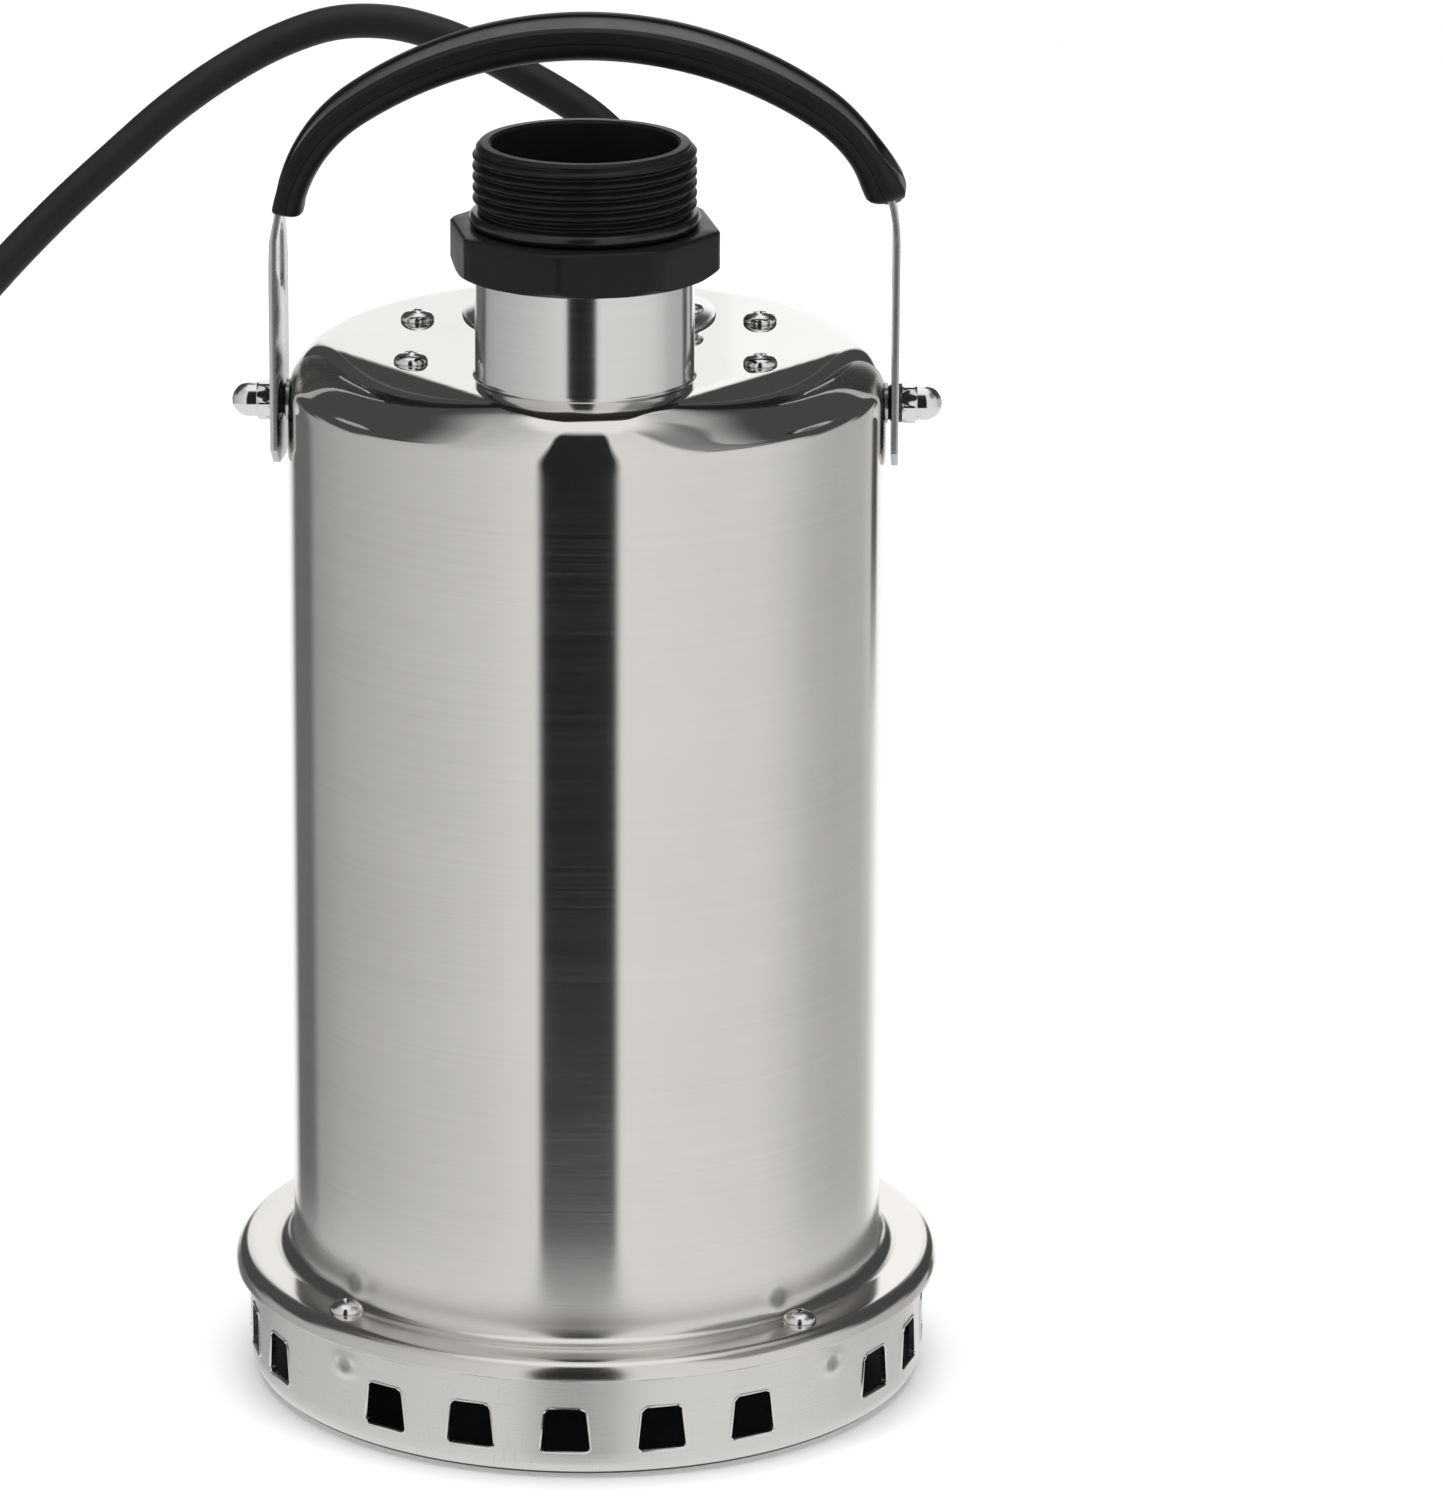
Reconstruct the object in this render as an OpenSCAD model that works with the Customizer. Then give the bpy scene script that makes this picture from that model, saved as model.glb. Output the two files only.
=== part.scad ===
// Submersible sump pump with a stainless shell, an inlet strainer, a
// threaded top outlet and a swinging bail handle.
// Millimetres, +Z up, front is -Y. The origin is on the shell's axis at the
// underside of the strainer.

/* [Shell] */
// Outside diameter of the shell at its foot
shell_d = 131.4; // [128:0.2:136]
// How much narrower the shell is at its shoulder
shell_draft = 1; // [0:0.1:2]
// Height of the shell's flat top
shell_top = 235.3; // [232:0.1:240]
// Thickness of the shell's sheet
shell_wall = 1; // [0.8:0.1:1.2]
// Radius of the shoulder
shoulder_r = 12; // [8:0.5:14]
// Outside diameter of the foot flange
flange_d = 157.8; // [156:0.2:160]
// Height of the flange's upper face
flange_top = 28; // [27:0.1:29]
// Depth of the flange's turned-down rim
rim_drop = 4.2; // [3.5:0.1:5]

/* [Strainer] */
// Outside diameter of the strainer
strainer_d = 151; // [149:0.2:152]
// Thickness of the strainer's sheet
strainer_wall = 1.2; // [1:0.1:1.5]
// Width of an inlet slot at its foot
slot_foot_w = 10.8; // [9:0.1:12]
// Width of an inlet slot at its head
slot_head_w = 8.8; // [7:0.1:10]
// Height of an inlet slot
slot_h = 10.2; // [8:0.1:11]
// Height of the slots' lower edge above the ground
slot_z = 6.1; // [5:0.1:8]
// Angle that the strainer and its screws are turned by
base_turn = -2.5; // [-6:0.5:6]

/* [Outlet] */
// Distance from the shell's axis forward to the outlet's axis
outlet_forward = 27.4; // [26:0.1:29]
// Outside diameter of the outlet stub
stub_d = 47; // [46:0.1:48]
// Major diameter of the outlet's pipe thread
thread_d = 47.8; // [47:0.1:48.5]
// Bore of the outlet
outlet_bore_d = 39.8; // [38:0.1:41]
// Height of the outlet's rim
outlet_top = 286.2; // [284:0.1:288]
// Distance across the corners of the octagonal collar
collar_d = 59.6; // [58:0.1:61]

/* [Handle] */
// Height of the handle's pivots
pivot_z = 222; // [220:0.5:223]
// Distance from the shell's axis to the middle of each strap arm
arm_x = 67; // [66.8:0.1:68]
// Thickness of the strap
strap_t = 1.5; // [1.2:0.1:1.5]
// Width of the strap
strap_w = 16; // [14:0.5:18]
// Height where the arms start to curve
arch_foot_z = 259.1; // [256:0.1:262]
// Radius of the arch's two corners
corner_r = 36.5; // [34:0.5:40]
// Radius of the arch's crown
crown_r = 90; // [86:0.5:100]

/* [Cord] */
// Diameter of the power cord
cord_d = 7.7; // [7:0.1:8.5]
// Mean radius of the stored coil
coil_r = 59; // [56:0.5:64]

/* [Hidden] */

$fn = 96;
steel = "silver";
dark_plastic = "#26282a";
soft_black = "#1b1c1d";
cast_grey = "#9a9da0";
copper = "#b06a36";
eps = 0.01;

shell_r = shell_d / 2;
shoulder_shell_r = (shell_d - shell_draft) / 2;
flange_r = flange_d / 2;
strainer_r = strainer_d / 2;
under_flange = flange_top - shell_wall;
base_screw_r = 70.5;
base_screw_angles = [for (i = [0:3]) 45 + 90 * i + base_turn];
// The slots' angles from the front, in four groups of five
front_slot_pitch = 16.1;
side_slot_pitch = 14.5;
slot_angles = [
    for (side = [0, 180]) for (i = [-2:2]) side + i * front_slot_pitch,
    for (side = [90, 270]) for (i = [-2:2]) side + i * side_slot_pitch
];

stub_wall = 1.5;
stub_top = 258.3;
collar_top = 268.3;
thread_foot = 271.4;
collar_turn = -12;
top_screw_x = 37.6;
top_screw_y = 18.5;
cover_y = 25;
cover_r = 28;
cover_h = 3;
cover_screw_points = [[-20, 14], [22.5, 16], [-4, 47]];
gland_x = 13.5;
gland_y = 34;
gland_hole_r = 6.2;

strap_in = arm_x - strap_t / 2;
strap_out = arm_x + strap_t / 2;
pivot_hole_r = 3.05;
bush_r = 3;
stud_r = 2.5;
stud_neck_r = 4.5;
stud_face_x = 65.5;
bush_end_x = strap_out + 0.05;
washer_t = 0.8;
nut_face_x = bush_end_x + washer_t;
strap_foot_z = pivot_z - 13;

can_r = 55;
can_wall = 1.2;
can_foot = 66;
can_top = 200;
shaft_r = 7.5;
shaft_top_r = 6;
running_gap = 0.05;
oil_foot = 47;
plate_z = 28;
stator_z = [88, 152];
rotor_r = 27.6;
casing_screw_r = 50;
casing_screw_angles = [20, 110, 200, 290];

// The cord's route from the gland to the top of the coil
coil_x = -246;
coil_y = -3;
coil_foot = 1.2;
coil_h = 31;
coil_w = 38.5;
run_route = [
    [13.5, 34, 241], [13.5, 34, 247], [13.2, 34, 254], [11.8, 34.5, 261], [9, 35.5, 267.5],
    [4.5, 36.5, 273], [-1, 38, 277.5], [-7.5, 39.5, 281.5], [-15, 41, 285.5], [-24, 43, 290],
    [-34, 44.5, 293.8], [-45, 46, 296], [-57, 46.5, 295.5], [-69, 46, 291.5], [-81, 45, 285],
    [-93, 44, 276.5], [-105, 43, 266], [-118, 42, 254], [-131, 41.5, 240.5], [-145, 42, 224],
    [-158, 43, 206], [-169, 44.5, 186.5], [-178, 46.5, 166], [-186, 48.5, 145],
    [-194, 50.5, 124], [-203, 52.5, 103.5], [-214, 54.5, 84.5], [-228, 56, 67],
    [-245, 56.5, 53], [-262, 53.5, 42], [-278, 46.5, 33.5], [-291, 35, 28.5]
];
relief_route = [for (i = [0:4]) run_route[i]];
tail_route = [
    [-303, 44.8, 5.1], [-310.4, 34.2, 5.1], [-316.4, 23.8, 5.3], [-322.4, 13.4, 6.5],
    [-326.9, 4.6, 8.4], [-330, -4.5, 10.6], [-331.4, -14, 12.4], [-331.5, -22, 13],
    [-331.5, -30, 13]
];
plug_x = -331.5;
plug_y = -24;
plug_z = 13;
plug_l = 36;

// ---- Shared shapes ----

// A copy of its children at each angle from the front, at radius r
module around(angles, r) {
    for (a = angles) rotate([0, 0, a]) translate([0, -r, 0]) children();
}

module mirror_x() {
    children();
    mirror([1, 0, 0]) children();
}

module ring(ro, ri, h) {
    difference() {
        cylinder(r = ro, h = h);
        translate([0, 0, -1]) cylinder(r = ri, h = h + 2);
    }
}

// A cylinder that runs along +X
module bar_x(r, from_x, to_x) {
    translate([from_x, 0, pivot_z]) rotate([0, 90, 0]) cylinder(r = r, h = to_x - from_x);
}

// A pan-head screw whose head stands on z = 0
module pan_screw(head_r, head_h, r, depth) {
    translate([0, 0, -depth]) cylinder(r = r, h = depth);
    intersection() {
        cylinder(r = head_r, h = head_h);
        translate([0, 0, head_h - 1.5 * head_r]) sphere(r = 1.5 * head_r);
    }
}

// The outline of a round can with a rounded shoulder, right of the axis
module can_half(foot_r, top_r, foot, top, round_r) {
    polygon([[0, foot], [foot_r, foot], [top_r, top - round_r], [0, top - round_r]]);
    square_top = top - round_r;
    translate([0, square_top - eps]) square([top_r - round_r, round_r + eps]);
    intersection() {
        translate([top_r - round_r, square_top]) circle(r = round_r);
        translate([0, square_top - eps]) square([top_r, round_r + eps]);
    }
}

// One arch of the handle as a list of [x, z, outward normal x, outward normal z]
function corner_turn(x, r) = acos((x - r) / (crown_r - r));
function arch_right(x, r) =
    let (turn = corner_turn(x, r), crown_z = arch_foot_z - (crown_r - r) * sin(turn))
    concat(
        [for (i = [0:5]) let (a = turn * i / 6)
            [x - r + r * cos(a), arch_foot_z + r * sin(a), cos(a), sin(a)]],
        [for (i = [0:6]) let (a = turn + (90 - turn) * i / 6)
            [crown_r * cos(a), crown_z + crown_r * sin(a), cos(a), sin(a)]]
    );
function arch_whole() =
    let (right = arch_right(arm_x, corner_r), n = len(right))
    concat(right, [for (i = [n - 2:-1:0]) let (p = right[i]) [-p[0], p[1], -p[2], p[3]]]);
function arch_offset(d) = [for (p = arch_whole()) [p[0] + d * p[2], p[1] + d * p[3]]];
function reversed(list) = [for (i = [len(list) - 1:-1:0]) list[i]];

// A tube or a solid swept along a route, with one radius for each end
function unit(v) = v / norm(v);
function route_way(p, i) = unit(p[min(i + 1, len(p) - 1)] - p[max(i - 1, 0)]);
function across(way) = unit(cross(way, abs(way[2]) > 0.9 ? [0, 1, 0] : [0, 0, 1]));
function frame_side(p, i) =
    i == 0 ? across(route_way(p, 0))
    : let (before = frame_side(p, i - 1), way = route_way(p, i))
      unit(before - way * (before * way));
function sweep_ring(p, i, r, sides) =
    let (way = route_way(p, i), u = frame_side(p, i), v = cross(way, u))
    [for (k = [0:sides - 1]) let (a = 360 * k / sides) p[i] + r * (u * cos(a) + v * sin(a))];
module sweep(p, r_from, r_to, sides = 10) {
    n = len(p);
    rings = [for (i = [0:n - 1]) sweep_ring(p, i, r_from + (r_to - r_from) * i / (n - 1), sides)];
    walls = [
        for (i = [0:n - 2]) for (k = [0:sides - 1]) let (j = (k + 1) % sides)
            [i * sides + k, (i + 1) * sides + k, (i + 1) * sides + j, i * sides + j]
    ];
    polyhedron(
        points = [for (one = rings) each one],
        faces = concat([[for (k = [0:sides - 1]) k]], walls,
                       [[for (k = [sides - 1:-1:0]) (n - 1) * sides + k]])
    );
}

// ---- Shell and outlet ----

module shell_solid() {
    rotate_extrude() can_half(shell_r, shoulder_shell_r, under_flange, shell_top, shoulder_r);
}

module outer_shell() {
    color(steel) difference() {
        shell_solid();
        rotate_extrude() can_half(shell_r - shell_wall, shoulder_shell_r - shell_wall,
                                  under_flange - 1, shell_top - shell_wall,
                                  shoulder_r - shell_wall);
        translate([0, -outlet_forward, shell_top - 5])
            cylinder(r = stub_d / 2 - stub_wall, h = 10);
        translate([0, cover_y, shell_top - 5]) cylinder(r = cover_r - 8, h = 10);
        translate([gland_x, gland_y, shell_top - 5]) cylinder(r = gland_hole_r + 0.1, h = 10);
        for (x = [-1, 1]) for (y = [-1, 1])
            translate([x * top_screw_x, y * top_screw_y, shell_top - 5]) cylinder(r = 2, h = 10);
        for (p = cover_screw_points) translate([p[0], p[1], shell_top - 5])
            cylinder(r = 1.5, h = 10);
        mirror_x() bar_x(stud_neck_r + 0.1, 50, 80);
    }
}

// The shell's foot: a flat ring with a rim turned down
module shell_flange() {
    color(steel) difference() {
        union() {
            translate([0, 0, under_flange]) ring(flange_r, shell_r, shell_wall);
            translate([0, 0, flange_top - rim_drop])
                ring(flange_r, flange_r - shell_wall, rim_drop);
        }
        around(base_screw_angles, base_screw_r) translate([0, 0, under_flange - 1])
            cylinder(r = 2, h = 4);
    }
}

module discharge_stub() {
    color(steel) translate([0, -outlet_forward, shell_top])
        ring(stub_d / 2, stub_d / 2 - stub_wall, stub_top - shell_top);
}

module threaded_adapter() {
    color(dark_plastic) translate([0, -outlet_forward, 0]) difference() {
        union() {
            translate([0, 0, stub_top]) intersection() {
                rotate([0, 0, -90 + collar_turn])
                    cylinder(d = collar_d, h = collar_top - stub_top, $fn = 8);
                cylinder(r1 = 27.2, r2 = 45, h = 13);
            }
            translate([0, 0, collar_top - 1]) cylinder(r = thread_d / 2 - 1.6, h = 5);
            translate([0, 0, thread_foot]) cylinder(d = thread_d, h = outlet_top - thread_foot);
            translate([0, 0, stub_top - 12])
                cylinder(r = stub_d / 2 - stub_wall, h = 13);
        }
        translate([0, 0, stub_top - 13]) cylinder(d = outlet_bore_d, h = 60);
    }
}

module outlet_oring() {
    color(soft_black) translate([0, -outlet_forward, collar_top + 1.5]) rotate_extrude()
        intersection() {
            translate([thread_d / 2 - 0.7, 0]) circle(r = 1.5);
            translate([thread_d / 2 - 1.6, -2]) square([4, 4]);
        }
}

// ---- Strainer ----

module slot_cutter() {
    cut = 1.6;
    rotate([90, 0, 0]) translate([0, slot_z, -6]) linear_extrude(12) polygon([
        [-slot_foot_w / 2, 0], [slot_foot_w / 2, 0],
        [slot_head_w / 2 + 0.2, slot_h - cut], [slot_head_w / 2 - 0.3 * cut, slot_h - 0.3 * cut],
        [slot_head_w / 2 - cut, slot_h], [cut - slot_head_w / 2, slot_h],
        [0.3 * cut - slot_head_w / 2, slot_h - 0.3 * cut], [-slot_head_w / 2 - 0.2, slot_h - cut]
    ]);
}

module strainer_base() {
    foot_r = 3.5;
    color(steel) difference() {
        rotate_extrude() difference() {
            union() {
                square([strainer_r - foot_r, under_flange]);
                translate([0, foot_r]) square([strainer_r, under_flange - foot_r]);
                translate([strainer_r - foot_r, foot_r]) circle(r = foot_r);
            }
            union() {
                translate([-1, strainer_wall])
                    square([strainer_r - foot_r + 1, under_flange]);
                translate([-1, foot_r]) square([strainer_r - strainer_wall + 1, under_flange]);
                translate([strainer_r - foot_r, foot_r]) circle(r = foot_r - strainer_wall);
            }
        }
        rotate([0, 0, base_turn]) around(slot_angles, strainer_r) slot_cutter();
    }
}

// L brackets that are spot welded inside the strainer and take its screws
module base_brackets() {
    leg_t = 1.5;
    leg_w = 14;
    leg_foot = 12;
    face_r = sqrt(pow(strainer_r - strainer_wall - 0.02, 2) - pow(leg_w / 2, 2));
    color(steel) around(base_screw_angles, 0) difference() {
        translate([-leg_w / 2, -face_r, leg_foot]) cube([leg_w, 8, under_flange - leg_foot]);
        translate([-leg_w, leg_t - face_r, leg_foot - 1])
            cube([2 * leg_w, 12, under_flange - leg_foot + 1 - leg_t]);
        translate([0, -base_screw_r, leg_foot]) cylinder(r = 2, h = 20);
    }
}

module base_screws() {
    color(steel) around(base_screw_angles, base_screw_r) translate([0, 0, flange_top])
        pan_screw(3.6, 2.4, 2, 8);
}

// ---- Fittings on the top ----

module top_screws() {
    color(steel) for (x = [-1, 1]) for (y = [-1, 1])
        translate([x * top_screw_x, y * top_screw_y, shell_top]) pan_screw(3.7, 3, 2, 12);
}

module pivot_studs() {
    color(steel) mirror_x() {
        bar_x(6, 61.3, 62.8);
        bar_x(stud_neck_r, 62.8, stud_face_x);
        bar_x(stud_r, stud_face_x, nut_face_x + 6);
    }
}

module pivot_bushes() {
    color(soft_black) mirror_x() difference() {
        union() {
            bar_x(3.9, stud_face_x, strap_in - running_gap);
            bar_x(bush_r, strap_in - 0.5, bush_end_x);
        }
        bar_x(stud_r, 60, 80);
    }
}

module lock_washers() {
    color("#3a3d40") mirror_x() difference() {
        bar_x(4.2, bush_end_x, nut_face_x);
        bar_x(stud_r, 60, 80);
    }
}

module cap_nuts() {
    hex_h = 3.2;
    hex_d = 9.24;
    dome_r = 3.75;
    dome_foot = 5;
    color("gainsboro") mirror_x() translate([nut_face_x, 0, pivot_z]) rotate([0, 90, 0])
        difference() {
            union() {
                cylinder(d = hex_d, h = hex_h, $fn = 6);
                translate([0, 0, hex_h - 0.5]) cylinder(r = dome_r, h = dome_foot - hex_h + 0.5);
                translate([0, 0, dome_foot - eps]) rotate_extrude() intersection() {
                    circle(r = dome_r);
                    square([dome_r, dome_r]);
                }
            }
            translate([0, 0, -1]) cylinder(r = stud_r, h = 7);
        }
}

module cable_cover() {
    color(steel) difference() {
        union() {
            translate([0, cover_y, shell_top]) cylinder(r = cover_r, h = cover_h);
            translate([0, cover_y, shell_top - shell_wall]) cylinder(r = cover_r - 8.2, h = 2);
        }
        translate([gland_x, gland_y, shell_top - 3]) cylinder(r = gland_hole_r, h = 10);
        for (p = cover_screw_points) translate([p[0], p[1], shell_top - 1])
            cylinder(r = 1.5, h = 10);
    }
}

module cable_cover_screws() {
    color(steel) for (p = cover_screw_points)
        translate([p[0], p[1], shell_top + cover_h]) pan_screw(2.8, 1.9, 1.5, cover_h + 4);
}

module gland_nut() {
    z = shell_top + cover_h;
    color(dark_plastic) translate([gland_x, gland_y, z]) difference() {
        union() {
            cylinder(d = 19, h = 3.5, $fn = 6);
            translate([0, 0, 3.4]) cylinder(r1 = 7.6, r2 = 7, h = 2.4);
            translate([0, 0, -5]) cylinder(r = 6, h = 5.5);
        }
        translate([0, 0, -6]) cylinder(r = cord_d / 2 + 0.8, h = 14);
    }
}

module gland_bush() {
    z = shell_top + cover_h;
    color(soft_black) translate([gland_x, gland_y, z - 5])
        ring(cord_d / 2 + 0.8, cord_d / 2, 7);
}

// The tapered boot bends with the first stretch of the cord
module strain_relief() {
    color(soft_black) difference() {
        sweep(relief_route, cord_d / 2 + 2.8, cord_d / 2 + 0.9, 16);
        sweep(run_route, cord_d / 2, cord_d / 2);
        translate([gland_x, gland_y, shell_top]) cylinder(r = 12, h = cover_h + 5.8);
    }
}

// ---- Motor ----

module motor_can() {
    color(steel) translate([0, 0, can_foot]) ring(can_r, can_r - can_wall, can_top - can_foot);
}

// End cover with four posts that the top screws pull up to the shell
module upper_cover() {
    post_top = shell_top - shell_wall;
    color(cast_grey) difference() {
        union() {
            translate([0, 0, can_top]) cylinder(r = can_r, h = 6);
            translate([0, 0, can_top - 6]) cylinder(r = can_r - can_wall, h = 7);
            translate([0, 0, can_top - 12]) cylinder(r = 20, h = 13);
            for (x = [-1, 1]) for (y = [-1, 1])
                translate([x * top_screw_x, y * top_screw_y, can_top + 5])
                    cylinder(r = 5, h = post_top - can_top - 5);
            translate([gland_x, gland_y, can_top + 5])
                cylinder(r = 8.5, h = post_top - 0.3 - can_top - 5);
        }
        translate([0, 0, can_top - 13]) cylinder(r = 16, h = 11);
        translate([0, 0, can_top - 4]) oring_groove();
        translate([0, 0, can_top - 3]) cylinder(r = 7, h = 4);
        translate([gland_x, gland_y, can_top - 20]) cylinder(r = gland_hole_r, h = 60);
        for (x = [-1, 1]) for (y = [-1, 1])
            translate([x * top_screw_x, y * top_screw_y, post_top - 16]) cylinder(r = 2, h = 20);
    }
}

module lower_cover() {
    color(cast_grey) difference() {
        union() {
            translate([0, 0, can_foot - 5]) cylinder(r = can_r, h = 5);
            translate([0, 0, can_foot - 1]) cylinder(r = can_r - can_wall, h = 6);
            translate([0, 0, can_foot]) cylinder(r = 22, h = 17);
        }
        translate([0, 0, can_foot + 1.5]) oring_groove();
        translate([0, 0, can_foot + 5]) cylinder(r = 17.5, h = 20);
        translate([0, 0, can_foot - 10]) cylinder(r = 8.5, h = 30);
        around(casing_screw_angles, casing_screw_r) translate([0, 0, can_foot - 6])
            cylinder(r = 2, h = 8);
    }
}

module oring_groove() {
    ring(can_r, can_r - can_wall - 1.9, 2);
}

module cover_orings() {
    color(soft_black) for (z = [can_foot + 2.5, can_top - 3])
        translate([0, 0, z]) rotate_extrude() translate([can_r - can_wall - 0.95, 0])
            circle(r = 0.9);
}

module stator_core() {
    color("#7c7f83") translate([0, 0, stator_z[0]]) difference() {
        cylinder(r = can_r - can_wall, h = stator_z[1] - stator_z[0]);
        translate([0, 0, -1]) cylinder(r = rotor_r + 0.5, h = 80);
        for (i = [0:23]) rotate([0, 0, 15 * i]) translate([rotor_r + 2.5, -2, -1])
            cube([14, 4, 80]);
    }
}

module stator_windings() {
    reach = 13;
    color(copper) {
        for (z = [stator_z[0] - reach, stator_z[1]]) translate([0, 0, z]) difference() {
            cylinder(r = 46, h = reach);
            translate([0, 0, -1]) cylinder(r = rotor_r + 4, h = reach + 2);
        }
        for (i = [0:23]) rotate([0, 0, 15 * i]) translate([rotor_r + 4.5, -1.8, stator_z[0] - 1])
            cube([11.5, 3.6, stator_z[1] - stator_z[0] + 2]);
    }
}

module capacitor() {
    color("#d8d4c8") translate([-22, 34, 180.5]) rotate([0, 90, 0]) cylinder(r = 12, h = 44);
}

// A ball bearing: two races and a row of balls
module ball_bearing(ro, ri, h) {
    race_t = 2.2;
    mid = (ro + ri) / 2;
    ring(ro, ro - race_t, h);
    ring(ri + race_t, ri, h);
    for (i = [0:7]) rotate([0, 0, 45 * i]) translate([mid, 0, h / 2])
        sphere(r = mid - ri - race_t - 0.03, $fn = 24);
}

module upper_bearing() {
    color(steel) translate([0, 0, can_top - 12])
        ball_bearing(16, shaft_top_r + running_gap, 10);
}

module lower_bearing() {
    color(steel) translate([0, 0, can_foot + 5])
        ball_bearing(17.5, shaft_r + running_gap, 11);
}

// ---- Wet end ----

module oil_chamber() {
    color(cast_grey) difference() {
        translate([0, 0, oil_foot]) cylinder(r = can_r, h = can_foot - 5 - oil_foot);
        translate([0, 0, oil_foot + 3]) cylinder(r = 42, h = 20);
        translate([0, 0, oil_foot - 1]) cylinder(r = 12.5, h = 10);
        around(casing_screw_angles, casing_screw_r) translate([0, 0, oil_foot - 1])
            cylinder(r = 2, h = 20);
    }
}

module seal_seat() {
    color("#c9c2b4") translate([0, 0, oil_foot]) ring(12.5, shaft_r + 0.8, 5);
}

// Guide vanes that turn the water up into the gap round the motor
module diffuser() {
    vane_foot = 31;
    color(dark_plastic) {
        difference() {
            translate([0, 0, oil_foot - 3]) cylinder(r = can_r, h = 3);
            translate([0, 0, oil_foot - 4]) cylinder(r = 12.5, h = 5);
            around(casing_screw_angles, casing_screw_r) translate([0, 0, oil_foot - 4])
                cylinder(r = 2, h = 5);
        }
        intersection() {
            for (i = [0:7]) rotate([0, 0, 45 * i + 2]) translate([45, 0, vane_foot])
                rotate([0, 0, 35]) translate([0, -1, 0])
                    cube([20, 2, oil_foot - 3 - vane_foot + eps]);
            translate([0, 0, vane_foot]) ring(63.5, 44.5, 30);
        }
        difference() {
            around(casing_screw_angles, casing_screw_r) translate([0, 0, vane_foot])
                cylinder(r = 4, h = oil_foot - 3 - vane_foot + eps);
            around(casing_screw_angles, casing_screw_r) translate([0, 0, vane_foot - 1])
                cylinder(r = 2, h = 20);
        }
    }
}

module suction_plate() {
    color(dark_plastic) difference() {
        union() {
            translate([0, 0, plate_z]) cylinder(r = 63.8, h = 3);
            translate([0, 0, plate_z - 5]) cylinder(r = 24, h = 6);
        }
        translate([0, 0, plate_z - 10]) cylinder(r = 20.5, h = 20);
        around(casing_screw_angles, casing_screw_r) translate([0, 0, plate_z - 1])
            cylinder(r = 2, h = 5);
    }
}

module wear_ring() {
    color("#b89a55") translate([0, 0, plate_z - 5]) ring(20.5, 18.5, 8);
}

module casing_screws() {
    color(steel) around(casing_screw_angles, casing_screw_r) translate([0, 0, plate_z])
        rotate([180, 0, 0]) pan_screw(3.8, 2.6, 2, 36);
}

// ---- Turning group ----

module motor_shaft() {
    color(steel) {
        cylinder_to(4, 20, 30);
        cylinder_to(6, 30, 44);
        cylinder_to(shaft_r, 44, can_foot + 40);
        cylinder_to(shaft_r, stator_z[0], stator_z[1] + 22);
        cylinder_to(shaft_top_r, stator_z[1] + 22, can_top - 1.5);
    }
}

module cylinder_to(r, from_z, to_z) {
    translate([0, 0, from_z]) cylinder(r = r, h = to_z - from_z);
}

module rotor_core() {
    color("#8b8d90") translate([0, 0, stator_z[0] - 2])
        ring(rotor_r, shaft_r, stator_z[1] - stator_z[0] + 4);
}

module seal_head() {
    color("#4a4c4f") translate([0, 0, oil_foot + 5.3]) ring(11, shaft_r, 3);
}

module seal_spring() {
    color(steel) for (i = [0:2]) translate([0, 0, oil_foot + 9 + 1.6 * i]) rotate_extrude()
        translate([9.4, 0]) circle(r = 0.7);
    color(steel) translate([0, 0, oil_foot + 12.9]) ring(10.6, shaft_r, 0.8);
}

module impeller() {
    foot = 32;
    shroud_r = 42;
    color(dark_plastic) difference() {
        union() {
            translate([0, 0, foot]) ring(shroud_r, 17, 1.8);
            translate([0, 0, 41]) cylinder(r = shroud_r, h = 2);
            translate([0, 0, foot]) cylinder(r = 9.5, h = 11);
            for (i = [0:5]) rotate([0, 0, 60 * i]) intersection() {
                translate([0, 24, foot + 1]) ring(24, 22.2, 9);
                translate([-45, 0, foot]) cube([45, 60, 12]);
                cylinder(r = shroud_r - 0.6, h = 60);
            }
        }
        translate([0, 0, foot - 1]) cylinder(r = 6, h = 20);
    }
}

module impeller_nut() {
    color("#b89a55") translate([0, 0, 25]) difference() {
        cylinder(d = 15, h = 5, $fn = 6);
        translate([0, 0, -1]) cylinder(r = 4, h = 8);
    }
    color(steel) translate([0, 0, 30]) ring(9, 6, 2);
}

// ---- Handle ----

module handle_strap() {
    outline = concat(
        [[strap_out, strap_foot_z + 1]], arch_offset(strap_t / 2), [[-strap_out, strap_foot_z + 1]],
        [[-strap_out, strap_foot_z], [-strap_in, strap_foot_z]],
        reversed(arch_offset(-strap_t / 2)),
        [[strap_in, strap_foot_z], [strap_out, strap_foot_z]]
    );
    cut = 5;
    hole_r = 2.2;
    hole_foot = 249.5;
    hole_l = 10;
    color(steel) difference() {
        translate([0, strap_w / 2, 0]) rotate([90, 0, 0]) linear_extrude(strap_w)
            polygon(outline);
        bar_x(pivot_hole_r, -80, 80);
        // The two lower corners of each arm are cut off
        for (y = [-1, 1]) translate([-80, y * strap_w / 2, strap_foot_z]) rotate([45, 0, 0])
            translate([0, -cut / 2, -cut / 2]) cube([160, cut, cut]);
        // A long hole in each arm
        for (x = [-1, 1]) translate([x * arm_x, 0, 0]) rotate([0, 90, 0]) {
            translate([-hole_foot, 0, -3]) cylinder(r = hole_r, h = 6);
            translate([-hole_foot - hole_l, 0, -3]) cylinder(r = hole_r, h = 6);
            translate([-hole_foot - hole_l, -hole_r, -3]) cube([hole_l, 2 * hole_r, 6]);
        }
    }
}

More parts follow.
